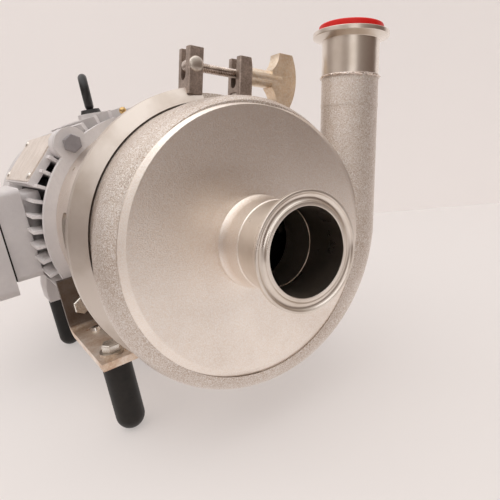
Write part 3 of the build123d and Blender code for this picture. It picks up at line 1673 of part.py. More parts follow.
with BuildPart() as earth_screw:
    with BuildSketch(Plane.XY.offset(bracket_top)):
        with Locations((-earth_screw_x, earth_screw_y)):
            Circle(rivet_r)
    extrude(amount=-bracket_thickness)
    with BuildSketch(Plane.XY.offset(bracket_top)):
        with Locations((-earth_screw_x, earth_screw_y)):
            Circle(rivet_r * 1.9)
    extrude(amount=2.4, taper=20)
earth_screw.part.label = "earth_screw"
export_step(earth_screw.part, "parts/earth_screw.step")

# Legs: round-ended black posts, front pair under the brackets and rear pair under the frame's foot pads
front_leg_y = bracket_front_y + leg_setback
leg_top = bracket_top - bracket_thickness
leg_spots = [(side * x, y) for x, y in ((leg_x, front_leg_y), (rear_leg_x, rear_leg_y)) for side in (-1, 1)]
with BuildPart() as legs:
    with BuildSketch(Plane.XY.offset(leg_top)):
        with Locations(*leg_spots):
            Circle(leg_r)
    extrude(amount=leg_r - shaft_height - leg_top)
    with Locations(*[(x, y, leg_r - shaft_height) for x, y in leg_spots]):
        Sphere(leg_r)
    with BuildSketch(Plane.XY.offset(leg_top)):
        with Locations(*leg_spots):
            Circle(bolt_shank_r)
    extrude(amount=-leg_bolt_depth, mode=Mode.SUBTRACT)
legs.part.label = "legs"
export_step(legs.part, "parts/legs.step")

with BuildPart() as leg_washers:
    with BuildSketch(Plane.XY.offset(bracket_top)):
        with Locations((-leg_x, front_leg_y), (leg_x, front_leg_y)):
            Circle(washer_r)
            Circle(bolt_shank_r + hole_gap, mode=Mode.SUBTRACT)
    extrude(amount=washer_thickness)
leg_washers.part.label = "leg_washers"
export_step(leg_washers.part, "parts/leg_washers.step")

with BuildPart() as leg_bolts:
    for side in (-1, 1):
        add(
            hex_bolt(
                Plane(origin=(side * leg_x, front_leg_y, bracket_top + washer_thickness)),
                washer_thickness + bracket_thickness + leg_bolt_depth - 1,
            )
        )
    with BuildSketch(Plane.XY.offset(leg_top - leg_bolt_depth + 1)):
        with Locations((-rear_leg_x, rear_leg_y), (rear_leg_x, rear_leg_y)):
            Circle(bolt_shank_r)
    extrude(amount=leg_bolt_depth + rear_stud_depth - 2)
leg_bolts.part.label = "leg_bolts"
export_step(leg_bolts.part, "parts/leg_bolts.step")
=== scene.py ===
# %% [markdown]
# # A sanitary centrifugal pump, dressed in Blender
# The solids of the pump come from CAD as a fixed frame, in metres, with the shaft along Y and Z up.
# Blender adds the looks: metal that was blasted or turned, cast paint, rubber, a threaded bolt and a hand nut.
# Each step below says what a piece or a finish is on the real pump, and why it is made this way.

# %% Load the frame
import bpy
import bmesh
import json
from math import atan2, cos, pi, radians, sin, sqrt
from mathutils import Matrix, Vector, noise


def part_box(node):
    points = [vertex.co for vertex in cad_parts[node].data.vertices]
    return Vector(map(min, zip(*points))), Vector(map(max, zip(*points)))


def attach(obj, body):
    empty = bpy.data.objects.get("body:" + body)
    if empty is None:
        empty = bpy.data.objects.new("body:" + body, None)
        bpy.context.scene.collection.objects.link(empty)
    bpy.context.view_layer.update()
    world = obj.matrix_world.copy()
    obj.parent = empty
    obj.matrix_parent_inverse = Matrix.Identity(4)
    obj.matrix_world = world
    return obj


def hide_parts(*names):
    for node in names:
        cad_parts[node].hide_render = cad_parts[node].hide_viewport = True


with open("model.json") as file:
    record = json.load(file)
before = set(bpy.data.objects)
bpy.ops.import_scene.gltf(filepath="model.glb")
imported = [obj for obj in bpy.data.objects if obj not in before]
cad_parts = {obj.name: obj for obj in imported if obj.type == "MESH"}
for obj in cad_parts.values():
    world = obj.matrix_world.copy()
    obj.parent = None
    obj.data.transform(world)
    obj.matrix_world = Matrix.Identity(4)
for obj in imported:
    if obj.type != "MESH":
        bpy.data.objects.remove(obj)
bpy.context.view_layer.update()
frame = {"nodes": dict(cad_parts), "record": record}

# %% [markdown]
# The casing leans twelve degrees to the right on its stand, and the clamp fifteen.
# Two small helpers give a direction across the shaft, so that every piece can be placed as the maker would clock it.

# %% Directions across the shaft
MM = 0.001
CASING_TURN = 12.0
CLAMP_TURN = 15.0


def across(angle, turn=0.0):
    """Unit vector across the shaft: angle runs from right to up, the whole turned to the right."""
    a = radians(angle - turn)
    return Vector((cos(a), 0.0, sin(a)))


head_right = across(0, CASING_TURN)
head_up = across(90, CASING_TURN)
clamp_right = across(0, CLAMP_TURN)
clamp_up = across(90, CLAMP_TURN)
print("discharge points along", [round(v, 3) for v in head_up])

# %% [markdown]
# A camera stands close to the suction port, a little to its left, and looks down on it.
# It is rolled with the casing, so that the discharge pipe stands upright in the picture.
# Its matrix is built from the direction it looks in and the direction that is up in the picture.

# %% Camera
camera_at = Vector((-146.1, -196.4, 73.2)) * MM
look = Vector((0.48304, 0.83686, -0.25756)).normalized()
side = look.cross(head_up).normalized()
upward = side.cross(look).normalized()
camera_data = bpy.data.cameras.new("camera")
camera_data.lens = 36.0
camera_data.sensor_width = 36.0
camera_data.clip_start = 0.01
camera_data.shift_x = -0.0014
camera_data.shift_y = -0.0059
camera = bpy.data.objects.new("camera", camera_data)
camera.matrix_world = Matrix((
    (side.x, upward.x, -look.x, camera_at.x),
    (side.y, upward.y, -look.y, camera_at.y),
    (side.z, upward.z, -look.z, camera_at.z),
    (0, 0, 0, 1),
))
bpy.context.scene.collection.objects.link(camera)
bpy.context.scene.camera = camera
print("camera at", [round(v, 3) for v in camera_at])

# %% [markdown]
# Materials are node trees. These helpers add a node, join two sockets and open a new material,
# so that each finish below is only a few lines.

# %% Node helpers
def node(tree, kind, **values):
    """Add a node and set its properties and input values by name."""
    new = tree.nodes.new(kind)
    for name, value in values.items():
        if hasattr(new, name):
            setattr(new, name, value)
        else:
            new.inputs[name.replace("_", " ")].default_value = value
    return new


def ramp(tree, stops):
    """Colour ramp with the given (place, colour) stops."""
    new = tree.nodes.new("ShaderNodeValToRGB")
    elements = new.color_ramp.elements
    while len(elements) < len(stops):
        elements.new(0.5)
    for element, (place, colour) in zip(elements, stops):
        element.position = place
        element.color = (*colour, 1.0)
    return new


def new_group(name, inputs, outputs):
    """Empty shader node group with float or colour sockets."""
    tree = bpy.data.node_groups.new(name, "ShaderNodeTree")
    for label, value in inputs:
        kind = "NodeSocketFloat" if isinstance(value, float) else "NodeSocketColor"
        socket = tree.interface.new_socket(label, in_out="INPUT", socket_type=kind)
        socket.default_value = value if isinstance(value, float) else (*value, 1.0)
    for label, kind in outputs:
        tree.interface.new_socket(label, in_out="OUTPUT", socket_type=kind)
    return tree, tree.nodes.new("NodeGroupInput"), tree.nodes.new("NodeGroupOutput")


def new_material(name, **values):
    """Material with one Principled shader, its constant values set on the shader's own sockets."""
    material = bpy.data.materials.new(name)
    material.use_nodes = True
    tree = material.node_tree
    shader = tree.nodes["Principled BSDF"]
    for label, value in values.items():
        socket = shader.inputs[label.replace("_", " ")]
        socket.default_value = (*value, 1.0) if isinstance(value, tuple) and len(value) == 3 else value
    material.diffuse_color = (*values["Base_Color"], 1.0) if "Base_Color" in values else (0.5, 0.5, 0.5, 1.0)
    return material, tree, shader


print("helpers ready")

# %% [markdown]
# Sheet stainless is often bead-blasted after welding. Up close it is a field of tiny pits,
# and from afar it is a soft, even grey with faint clouds where hands and weather touched it.
# One group gives the clouded colour, the roughness that goes with it, and the height of the pits.

# %% Blasted metal group
blasted, group_in, group_out = new_group(
    "blasted_metal",
    [("Colour", (0.6, 0.55, 0.5)), ("Cloud Colour", (0.5, 0.45, 0.4)), ("Grain Scale", 1500.0), ("Cloud Scale", 22.0),
     ("Roughness", 0.34), ("Grain Shade", 0.25), ("Specks", 0.0)],
    [("Colour", "NodeSocketColor"), ("Roughness", "NodeSocketFloat"), ("Height", "NodeSocketFloat")],
)
place = node(blasted, "ShaderNodeTexCoord")
clouds = node(blasted, "ShaderNodeTexNoise", Detail=5.0, Roughness=0.6)
grains = node(blasted, "ShaderNodeTexNoise", Detail=3.0, Roughness=0.7)
pits = node(blasted, "ShaderNodeTexVoronoi", Scale=420.0)
cloud_ramp = ramp(blasted, [(0.34, (0, 0, 0)), (0.68, (1, 1, 1))])
grain_ramp = ramp(blasted, [(0.32, (0.0, 0.0, 0.0)), (0.68, (1.0, 1.0, 1.0))])
speck_ramp = ramp(blasted, [(0.0, (1, 1, 1)), (0.13, (0, 0, 0))])
chance = node(blasted, "ShaderNodeMath", operation="GREATER_THAN")
chance.inputs[1].default_value = 0.93
tint = node(blasted, "ShaderNodeMix", data_type="RGBA")
shade = node(blasted, "ShaderNodeMix", data_type="RGBA", blend_type="OVERLAY")
speck_part = node(blasted, "ShaderNodeSeparateColor")
speck_mask = node(blasted, "ShaderNodeMath", operation="MULTIPLY")
speck_share = node(blasted, "ShaderNodeMath", operation="MULTIPLY")
speckled = node(blasted, "ShaderNodeMix", data_type="RGBA")
speckled.inputs["B"].default_value = (0.95, 0.93, 0.90, 1)
rough = node(blasted, "ShaderNodeMath", operation="MULTIPLY_ADD")
rough.inputs[1].default_value = 0.16
links = blasted.links
for texture in (clouds, grains, pits):
    links.new(place.outputs["Object"], texture.inputs["Vector"])
links.new(group_in.outputs["Cloud Scale"], clouds.inputs["Scale"])
links.new(group_in.outputs["Grain Scale"], grains.inputs["Scale"])
links.new(clouds.outputs["Fac"], cloud_ramp.inputs["Fac"])
links.new(cloud_ramp.outputs["Color"], tint.inputs["Factor"])
links.new(group_in.outputs["Colour"], tint.inputs["A"])
links.new(group_in.outputs["Cloud Colour"], tint.inputs["B"])
links.new(grains.outputs["Fac"], grain_ramp.inputs["Fac"])
links.new(group_in.outputs["Grain Shade"], shade.inputs["Factor"])
links.new(tint.outputs["Result"], shade.inputs["A"])
links.new(grain_ramp.outputs["Color"], shade.inputs["B"])
links.new(pits.outputs["Distance"], speck_ramp.inputs["Fac"])
links.new(pits.outputs["Color"], speck_part.inputs["Color"])
links.new(speck_part.outputs["Red"], chance.inputs[0])
links.new(chance.outputs[0], speck_mask.inputs[0])
links.new(speck_ramp.outputs["Color"], speck_mask.inputs[1])
links.new(speck_mask.outputs[0], speck_share.inputs[0])
links.new(group_in.outputs["Specks"], speck_share.inputs[1])
links.new(speck_share.outputs[0], speckled.inputs["Factor"])
links.new(shade.outputs["Result"], speckled.inputs["A"])
links.new(speckled.outputs["Result"], group_out.inputs["Colour"])
links.new(clouds.outputs["Fac"], rough.inputs[0])
links.new(group_in.outputs["Roughness"], rough.inputs[2])
links.new(rough.outputs[0], group_out.inputs["Roughness"])
links.new(grains.outputs["Fac"], group_out.inputs["Height"])
print("group", blasted.name)

# %% [markdown]
# Turned parts, such as a ferrule or the clamp band, carry fine rings left by the tool.
# The rings follow the distance from the turning axis, so noise is stretched along the turn:
# the group reads the radius instead of the two cross directions, and takes the coordinate along the axis as it is.

# %% Turned metal group
turned, group_in, group_out = new_group(
    "turned_metal",
    [("Colour", (0.6, 0.55, 0.5)), ("Dark", (0.45, 0.4, 0.36)), ("Ring Scale", 900.0), ("Roughness", 0.22)],
    [("Colour", "NodeSocketColor"), ("Roughness", "NodeSocketFloat"), ("Height", "NodeSocketFloat")],
)
place = node(turned, "ShaderNodeTexCoord")
apart = node(turned, "ShaderNodeSeparateXYZ")
square_x = node(turned, "ShaderNodeMath", operation="MULTIPLY")
square_z = node(turned, "ShaderNodeMath", operation="MULTIPLY")
radius_sq = node(turned, "ShaderNodeMath", operation="ADD")
radius = node(turned, "ShaderNodeMath", operation="SQRT")
rebuilt = node(turned, "ShaderNodeCombineXYZ")
rings = node(turned, "ShaderNodeTexNoise", Detail=3.0, Roughness=0.7)
stains = node(turned, "ShaderNodeTexNoise", Scale=35.0, Detail=5.0)
stain_ramp = ramp(turned, [(0.42, (0, 0, 0)), (0.72, (1, 1, 1))])
tint = node(turned, "ShaderNodeMix", data_type="RGBA")
rough = node(turned, "ShaderNodeMath", operation="MULTIPLY_ADD")
rough.inputs[1].default_value = 0.18
links = turned.links
links.new(place.outputs["Object"], apart.inputs[0])
links.new(apart.outputs["X"], square_x.inputs[0])
links.new(apart.outputs["X"], square_x.inputs[1])
links.new(apart.outputs["Z"], square_z.inputs[0])
links.new(apart.outputs["Z"], square_z.inputs[1])
links.new(square_x.outputs[0], radius_sq.inputs[0])
links.new(square_z.outputs[0], radius_sq.inputs[1])
links.new(radius_sq.outputs[0], radius.inputs[0])
links.new(radius.outputs[0], rebuilt.inputs["X"])
links.new(apart.outputs["Y"], rebuilt.inputs["Y"])
links.new(rebuilt.outputs[0], rings.inputs["Vector"])
links.new(group_in.outputs["Ring Scale"], rings.inputs["Scale"])
links.new(place.outputs["Object"], stains.inputs["Vector"])
links.new(stains.outputs["Fac"], stain_ramp.inputs["Fac"])
links.new(stain_ramp.outputs["Color"], tint.inputs["Factor"])
links.new(group_in.outputs["Colour"], tint.inputs["A"])
links.new(group_in.outputs["Dark"], tint.inputs["B"])
links.new(tint.outputs["Result"], group_out.inputs["Colour"])
links.new(stains.outputs["Fac"], rough.inputs[0])
links.new(group_in.outputs["Roughness"], rough.inputs[2])
links.new(rough.outputs[0], group_out.inputs["Roughness"])
links.new(rings.outputs["Fac"], group_out.inputs["Height"])
print("group", turned.name)

# %% [markdown]
# A group is used in a material through a group node. This helper places one, feeds the shader
# and puts its height through a Bump node, whose distance says how deep the marks are in metres.

# %% Use a group in a material
def dress(tree, shader, group, depth, strength=1.0, **values):
    """Feed a Principled shader from a finish group."""
    use = tree.nodes.new("ShaderNodeGroup")
    use.node_tree = group
    for label, value in values.items():
        socket = use.inputs[label.replace("_", " ")]
        socket.default_value = (*value, 1.0) if isinstance(value, tuple) else value
    bump = tree.nodes.new("ShaderNodeBump")
    bump.inputs["Distance"].default_value = depth
    bump.inputs["Strength"].default_value = strength
    tree.links.new(use.outputs["Colour"], shader.inputs["Base Color"])
    tree.links.new(use.outputs["Roughness"], shader.inputs["Roughness"])
    tree.links.new(use.outputs["Height"], bump.inputs["Height"])
    tree.links.new(bump.outputs["Normal"], shader.inputs["Normal"])
    return use


blasted_steel, tree, shader = new_material("blasted_stainless", Metallic=1.0)
dress(tree, shader, blasted, 0.0004, 0.5, Colour=(0.91, 0.835, 0.765), Cloud_Colour=(0.82, 0.74, 0.67), Grain_Scale=1500.0,
      Roughness=0.25, Grain_Shade=0.35, Specks=0.9)
casing_steel, tree, shader = new_material("casing_stainless", Metallic=1.0)
dress(tree, shader, blasted, 0.0008, 0.7, Colour=(0.71, 0.635, 0.575), Cloud_Colour=(0.60, 0.52, 0.46), Grain_Scale=1350.0,
      Roughness=0.3, Grain_Shade=0.6, Specks=0.3)
turned_steel, tree, shader = new_material("turned_stainless", Metallic=1.0)
dress(tree, shader, turned, 0.00003, 0.5, Colour=(0.80, 0.735, 0.67), Dark=(0.64, 0.565, 0.49), Roughness=0.2)
band_steel, tree, shader = new_material("band_steel", Metallic=1.0)
dress(tree, shader, turned, 0.00004, 0.6, Colour=(0.62, 0.555, 0.50), Dark=(0.47, 0.40, 0.34), Roughness=0.36)
print("stainless finishes ready")

# %% [markdown]
# Grey motor paint lies over a sand casting: a slightly pebbled skin, a few dusty patches, and a soft sheen.

# %% Painted casting group
casting, group_in, group_out = new_group(
    "painted_casting",
    [("Colour", (0.3, 0.3, 0.3)), ("Dust", (0.5, 0.48, 0.45)), ("Pebble Scale", 420.0), ("Roughness", 0.45)],
    [("Colour", "NodeSocketColor"), ("Roughness", "NodeSocketFloat"), ("Height", "NodeSocketFloat")],
)
place = node(casting, "ShaderNodeTexCoord")
dust = node(casting, "ShaderNodeTexNoise", Scale=26.0, Detail=7.0, Roughness=0.65)
dust_ramp = ramp(casting, [(0.45, (0, 0, 0)), (0.78, (1, 1, 1))])
pebbles = node(casting, "ShaderNodeTexNoise", Detail=4.0, Roughness=0.6)
tint = node(casting, "ShaderNodeMix", data_type="RGBA")
rough = node(casting, "ShaderNodeMath", operation="MULTIPLY_ADD")
rough.inputs[1].default_value = 0.2
links = casting.links
links.new(place.outputs["Object"], dust.inputs["Vector"])
links.new(place.outputs["Object"], pebbles.inputs["Vector"])
links.new(group_in.outputs["Pebble Scale"], pebbles.inputs["Scale"])
links.new(dust.outputs["Fac"], dust_ramp.inputs["Fac"])
links.new(dust_ramp.outputs["Color"], tint.inputs["Factor"])
links.new(group_in.outputs["Colour"], tint.inputs["A"])
links.new(group_in.outputs["Dust"], tint.inputs["B"])
links.new(tint.outputs["Result"], group_out.inputs["Colour"])
links.new(dust.outputs["Fac"], rough.inputs[0])
links.new(group_in.outputs["Roughness"], rough.inputs[2])
links.new(rough.outputs[0], group_out.inputs["Roughness"])
links.new(pebbles.outputs["Fac"], group_out.inputs["Height"])
motor_paint, tree, shader = new_material("grey_motor_paint", Metallic=0.0)
dress(tree, shader, casting, 0.0004, 0.6, Colour=(0.66, 0.625, 0.62), Dust=(0.78, 0.745, 0.73), Roughness=0.4)
# The finned frame takes a lighter copy of the grey paint as painted light on the fin tips, and its colour is multiplied
# to near black close to the frame core: painted shade in the gaps between the fins.
finned_paint, tree, shader = new_material("finned_motor_paint", Metallic=0.0)
use = dress(tree, shader, casting, 0.0004, 0.6, Colour=(0.78, 0.745, 0.74), Dust=(0.86, 0.83, 0.81), Roughness=0.4)
place = node(tree, "ShaderNodeTexCoord")
shrink = node(tree, "ShaderNodeVectorMath", operation="MULTIPLY")
shrink.inputs[1].default_value = (1, 0, 1)
depth = node(tree, "ShaderNodeVectorMath", operation="LENGTH")
scaled = node(tree, "ShaderNodeMath", operation="MULTIPLY")
scaled.inputs[1].default_value = 10.0
painted_fin_shade = ramp(tree, [(0.81, (0.04, 0.035, 0.035)), (0.88, (1, 1, 1))])
fin_shade_mix = node(tree, "ShaderNodeMix", data_type="RGBA", blend_type="MULTIPLY")
fin_shade_mix.inputs["Factor"].default_value = 1.0
tree.links.new(place.outputs["Object"], shrink.inputs[0])
tree.links.new(shrink.outputs["Vector"], depth.inputs[0])
tree.links.new(depth.outputs["Value"], scaled.inputs[0])
tree.links.new(scaled.outputs[0], painted_fin_shade.inputs["Fac"])
tree.links.new(use.outputs["Colour"], fin_shade_mix.inputs["A"])
tree.links.new(painted_fin_shade.outputs["Color"], fin_shade_mix.inputs["B"])
tree.links.new(fin_shade_mix.outputs["Result"], shader.inputs["Base Color"])
# The tie bolts get a much darker grey than the motor paint: painted shade for the dark crevices round the motor lugs.
bolt_paint, tree, shader = new_material("bolt_paint_painted_shade", Metallic=0.0)
dress(tree, shader, casting, 0.0002, 0.5, Colour=(0.24, 0.22, 0.23), Dust=(0.36, 0.34, 0.34), Roughness=0.36)
black_paint, tree, shader = new_material("black_paint", Metallic=0.0)
dress(tree, shader, casting, 0.0002, 0.4, Colour=(0.012, 0.011, 0.011), Dust=(0.06, 0.055, 0.05), Roughness=0.3)
black_rubber, tree, shader = new_material("black_rubber", Metallic=0.0, Specular_IOR_Level=0.3)
dress(tree, shader, casting, 0.0002, 0.6, Colour=(0.009, 0.0075, 0.0065), Dust=(0.035, 0.03, 0.026), Roughness=0.4)
print("paint and rubber ready")

# %% [markdown]
# The clamp jaws are dull forged steel, the hand nut is bronze, the screws are zinc plated and the cap is red plastic.
# They all share the two groups above, and differ only in colour, in the size of the grain and in how rough they are.
# The brackets are bent from plate, and their upright wall carries painted shade: above the foot plate its colour is
# multiplied down to dark grey, standing in for the shadow under the lantern and the casing, so their colour also
# follows the height.
# Shade is painted between the cooling fins in the same way: there it follows the distance from the shaft, near black
# close to the frame core where the gaps lie in shadow.

# %% Small metals and plastics
jaw_steel, tree, shader = new_material("jaw_steel", Metallic=1.0)
dress(tree, shader, blasted, 0.0001, 0.6, Colour=(0.52, 0.43, 0.375), Cloud_Colour=(0.34, 0.275, 0.235), Grain_Scale=900.0,
      Cloud_Scale=120.0, Roughness=0.38)
nut_metal, tree, shader = new_material("nut_bronze", Metallic=1.0)
dress(tree, shader, blasted, 0.00008, 0.5, Colour=(0.90, 0.77, 0.62), Cloud_Colour=(0.72, 0.60, 0.47), Grain_Scale=700.0,
      Cloud_Scale=90.0, Roughness=0.3)
zinc_steel, tree, shader = new_material("zinc_steel", Metallic=1.0)
dress(tree, shader, blasted, 0.00004, 0.4, Colour=(0.78, 0.74, 0.68), Cloud_Colour=(0.62, 0.57, 0.51), Grain_Scale=900.0,
      Cloud_Scale=160.0, Roughness=0.2)
plate_steel, tree, shader = new_material("bracket_steel", Metallic=1.0)
use = dress(tree, shader, blasted, 0.00008, 0.5, Colour=(0.95, 0.87, 0.79), Cloud_Colour=(0.66, 0.49, 0.36), Grain_Scale=700.0,
            Cloud_Scale=55.0, Roughness=0.42)
# Painted shade on the upright wall: from just above the foot plate upward the colour is multiplied down to a dark grey.
place = node(tree, "ShaderNodeTexCoord")
facing = node(tree, "ShaderNodeSeparateXYZ")
wall_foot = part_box("bracket_left")[0][2] + 5 * MM
height = node(tree, "ShaderNodeMapRange")
height.inputs["From Min"].default_value = wall_foot
height.inputs["From Max"].default_value = wall_foot + 3 * MM
painted_wall_shade = ramp(tree, [(0.0, (1, 1, 1)), (1.0, (0.16, 0.14, 0.13))])
scaled = node(tree, "ShaderNodeMix", data_type="RGBA", blend_type="MULTIPLY")
scaled.inputs["Factor"].default_value = 1.0
tree.links.new(place.outputs["Object"], facing.inputs[0])
tree.links.new(facing.outputs["Z"], height.inputs["Value"])
tree.links.new(height.outputs["Result"], painted_wall_shade.inputs["Fac"])
tree.links.new(use.outputs["Colour"], scaled.inputs["A"])
tree.links.new(painted_wall_shade.outputs["Color"], scaled.inputs["B"])
tree.links.new(scaled.outputs["Result"], shader.inputs["Base Color"])
sheet_steel, tree, shader = new_material("rating_plate_steel", Metallic=1.0)
dress(tree, shader, blasted, 0.00005, 0.4, Colour=(0.86, 0.78, 0.71), Cloud_Colour=(0.74, 0.66, 0.59), Grain_Scale=700.0,
      Cloud_Scale=60.0, Roughness=0.36)
brass, tree, shader = new_material("brass", Metallic=1.0)
dress(tree, shader, blasted, 0.00004, 0.4, Colour=(0.72, 0.50, 0.22), Cloud_Colour=(0.55, 0.36, 0.15), Grain_Scale=900.0,
      Cloud_Scale=200.0, Roughness=0.22)
copper, tree, shader = new_material("copper", Metallic=1.0)
dress(tree, shader, blasted, 0.0002, 0.6, Colour=(0.62, 0.27, 0.12), Cloud_Colour=(0.45, 0.18, 0.08), Grain_Scale=500.0,
      Cloud_Scale=160.0, Roughness=0.35)
core_steel, tree, shader = new_material("core_steel", Metallic=1.0)
dress(tree, shader, blasted, 0.00006, 0.5, Colour=(0.34, 0.34, 0.34), Cloud_Colour=(0.25, 0.25, 0.25), Grain_Scale=600.0,
      Cloud_Scale=80.0, Roughness=0.36)
red_plastic, tree, shader = new_material("red_plastic", Metallic=0.0, Specular_IOR_Level=0.35)
dress(tree, shader, casting, 0.00008, 0.4, Colour=(0.80, 0.014, 0.010), Dust=(0.70, 0.03, 0.02), Pebble_Scale=900.0, Roughness=0.34)
# Impeller, impeller nut and back plate lie deep in the suction bore: their steel is given a near black colour, painted
# shade for the dark inside of the bore.
steel_painted_bore_shade, tree, shader = new_material("steel_painted_bore_shade", Metallic=1.0)
dress(tree, shader, blasted, 0.0001, 0.5, Colour=(0.03, 0.027, 0.025), Cloud_Colour=(0.02, 0.018, 0.016), Grain_Scale=700.0,
      Cloud_Scale=60.0, Roughness=0.42)
dark_plastic, tree, shader = new_material("dark_plastic", Metallic=0.0)
dress(tree, shader, casting, 0.0001, 0.4, Colour=(0.03, 0.03, 0.032), Dust=(0.07, 0.07, 0.07), Pebble_Scale=900.0, Roughness=0.32)
print("small finishes ready")

# %% [markdown]
# The record names a finish for every CAD node. Here each of those finishes gets its Blender material.

# %% Finishes on the CAD nodes
finish_of = {
    "stainless_blasted": blasted_steel, "stainless_turned": turned_steel, "jaw_steel": jaw_steel, "nut_bronze": nut_metal,
    "zinc_steel": zinc_steel, "bracket_steel": plate_steel, "grey_paint": motor_paint, "black_paint": black_paint,
    "black_rubber": black_rubber, "red_plastic": red_plastic, "brass": brass, "grey_plastic": dark_plastic,
    "carbon": dark_plastic, "copper": copper, "core_steel": core_steel,
}
slot_of = {part["node"]: part["material_slot"] for part in frame["record"]["subparts"]}
for part in frame["record"]["subparts"]:
    shown = frame["nodes"][part["node"]]
    shown = bpy.data.objects[shown] if isinstance(shown, str) else shown
    shown.data.materials.clear()
    shown.data.materials.append(finish_of[part["material_slot"]])
# The parts inside the bore take the near black steel with painted shade.
for name in ("impeller", "impeller_nut", "backplate"):
    frame["nodes"][name].data.materials[0] = steel_painted_bore_shade
for name in ("casing_volute", "discharge_tube"):
    frame["nodes"][name].data.materials[0] = casing_steel
frame["nodes"]["motor_frame"].data.materials[0] = finned_paint
frame["nodes"]["nameplate"].data.materials[0] = sheet_steel
finish_for = {name: finish_of[slot] for name, slot in slot_of.items()}
for name in ("clamp_half_left", "clamp_half_right"):
    finish_for[name] = band_steel
# The tie bolts take the darker paint that carries painted shade.
finish_for["tie_bolts"] = bolt_paint

# %% [markdown]
# ## Edges
# CAD solids have knife-sharp edges, and real parts never do: a tool, a file or the blasting always rounds them a little.
# That thin round is what catches the light in a photograph.
# The helper copies a CAD mesh, merges its loose triangles, joins the flat ones into whole faces,
# and runs the bevel operator over every edge that is sharper than a chosen angle. The copy then stands for the CAD node.

# %% Helper for softened copies
def finish_mesh(bm, name, body, material, sharp=32.0, replaces=()):
    """Turn a bmesh into a smooth-shaded piece that rides on a body."""
    for face in bm.faces:
        face.smooth = True
    mesh = bpy.data.meshes.new(name)
    bm.to_mesh(mesh)
    bm.free()
    mesh.set_sharp_from_angle(angle=radians(sharp))
    mesh.materials.append(material)
    piece = bpy.data.objects.new(name, mesh)
    bpy.context.scene.collection.objects.link(piece)
    even = piece.modifiers.new("flat faces stay flat", "WEIGHTED_NORMAL")
    even.keep_sharp = True
    even.weight = 100
    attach(piece, body)
    if replaces:
        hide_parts(*replaces)
    return piece


def copy_of(name):
    """Merged bmesh copy of a CAD node, its flat triangles joined into faces."""
    bm = bmesh.new()
    bm.from_mesh(frame["nodes"][name].data)
    bmesh.ops.remove_doubles(bm, verts=bm.verts, dist=2e-6)
    bmesh.ops.dissolve_limit(bm, angle_limit=radians(0.5), use_dissolve_boundaries=False, verts=bm.verts, edges=bm.edges)
    return bm


def round_edges(bm, width, segments=2, angle=30.0):
    """Bevel every edge whose faces meet at more than the angle."""
    edges = [edge for edge in bm.edges if len(edge.link_faces) == 2 and edge.calc_face_angle(0) > radians(angle)]
    bmesh.ops.bevel(bm, geom=edges, offset=width, offset_type="OFFSET", affect="EDGES", segments=segments, profile=0.5,
                    clamp_overlap=True, material=-1)
    return len(edges)


body_of = {name: body for body, names in frame["record"]["behaviour"]["bodies"].items() for name in names}


def softened(name, width, segments=2, angle=30.0):
    """Copy of a CAD node with rounded edges that stands for it."""
    bm = copy_of(name)
    count = round_edges(bm, width * MM, segments, angle)
    piece = finish_mesh(bm, name + "_rounded", body_of[name], finish_for[name], angle, (name,))
    print(piece.name, "edges rounded:", count, "faces:", len(piece.data.polygons))
    return piece


for name, width in (
    ("clamp_half_left", 0.5), ("clamp_half_right", 0.5), ("bracket_left", 0.5), ("bracket_right", 0.5), ("bracket_bolts", 0.3), ("leg_bolts", 0.3),
    ("tie_bolts", 0.3), ("terminal_lid", 0.8), ("terminal_box", 0.6), ("outlet_cap", 1.6), ("motor_front_shield", 0.7),
    ("legs", 0.5),
):
    softened(name, width, 3 if width > 0.7 else 2)
softened("front_plate", 0.22, 2, 10.0)


def sharp_edges(bm, wanted):
    """Edges whose faces meet at more than thirty degrees, and that the test picks."""
    return [edge for edge in bm.edges
            if len(edge.link_faces) == 2 and edge.calc_face_angle(0) > radians(30) and wanted(edge)]


def middle(edge):
    """Middle of an edge."""
    return (edge.verts[0].co + edge.verts[1].co) / 2


def bevelled(name, width, segments, wanted, rest):
    """CAD node with a wide round on the picked edges and a fine one on the others."""
    bm = copy_of(name)
    picked = sharp_edges(bm, wanted)
    bmesh.ops.bevel(bm, geom=picked, offset=width * MM, offset_type="OFFSET", affect="EDGES", segments=segments, profile=0.5,
                    clamp_overlap=True, material=-1)
    count = round_edges(bm, rest * MM, 2, 34.0)
    piece = finish_mesh(bm, name + "_rounded", body_of[name], finish_for[name], 30.0, (name,))
    print(piece.name, "wide rounds:", len(picked), "fine rounds:", count)


for name in ("clamp_jaw_left", "clamp_jaw_right"):
    crown = max(vert.co.dot(clamp_up) for vert in frame["nodes"][name].data.vertices)
    bevelled(name, 2.4, 4, lambda edge: middle(edge).dot(clamp_up) > crown - 0.3 * MM
             and abs((edge.verts[0].co - edge.verts[1].co).normalized().y) > 0.99, 0.35)
rod_line = clamp_up * 106.5 * MM
bevelled("wing_nut", 1.3, 3, lambda edge: (
    (middle(edge) - rod_line - Vector((0, 106.5 * MM, 0))).cross(clamp_right).length > 7.5 * MM), 0.3)

# %% [markdown]
# ## Ferrules
# A sanitary ferrule is turned from bar: a flat face with a round gasket groove, a rim whose back is coned for the clamp,
# and a short tube. Its half section is drawn once, in radius and distance, and the spin operator turns it round the axis.
# Spinning gives finer and more even facets than the CAD mesh, so the bevel can run cleanly along every ring.

# %% Turned rings by spinning a half section
def spun(profile, origin, axis, steps=160):
    """Closed ring: profile points are (radius, distance along the axis) in millimetres."""
    bm = bmesh.new()
    start = axis.orthogonal().normalized()
    verts = [bm.verts.new(origin + (start * radius + axis * along) * MM) for radius, along in profile]
    edges = [bm.edges.new((verts[i - 1], verts[i])) for i in range(len(verts))]
    bmesh.ops.spin(bm, geom=verts + edges, cent=origin, axis=axis, angle=2 * pi, steps=steps, use_merge=True)
    bmesh.ops.remove_doubles(bm, verts=bm.verts, dist=1e-6)
    bmesh.ops.recalc_face_normals(bm, faces=bm.faces)
    return bm


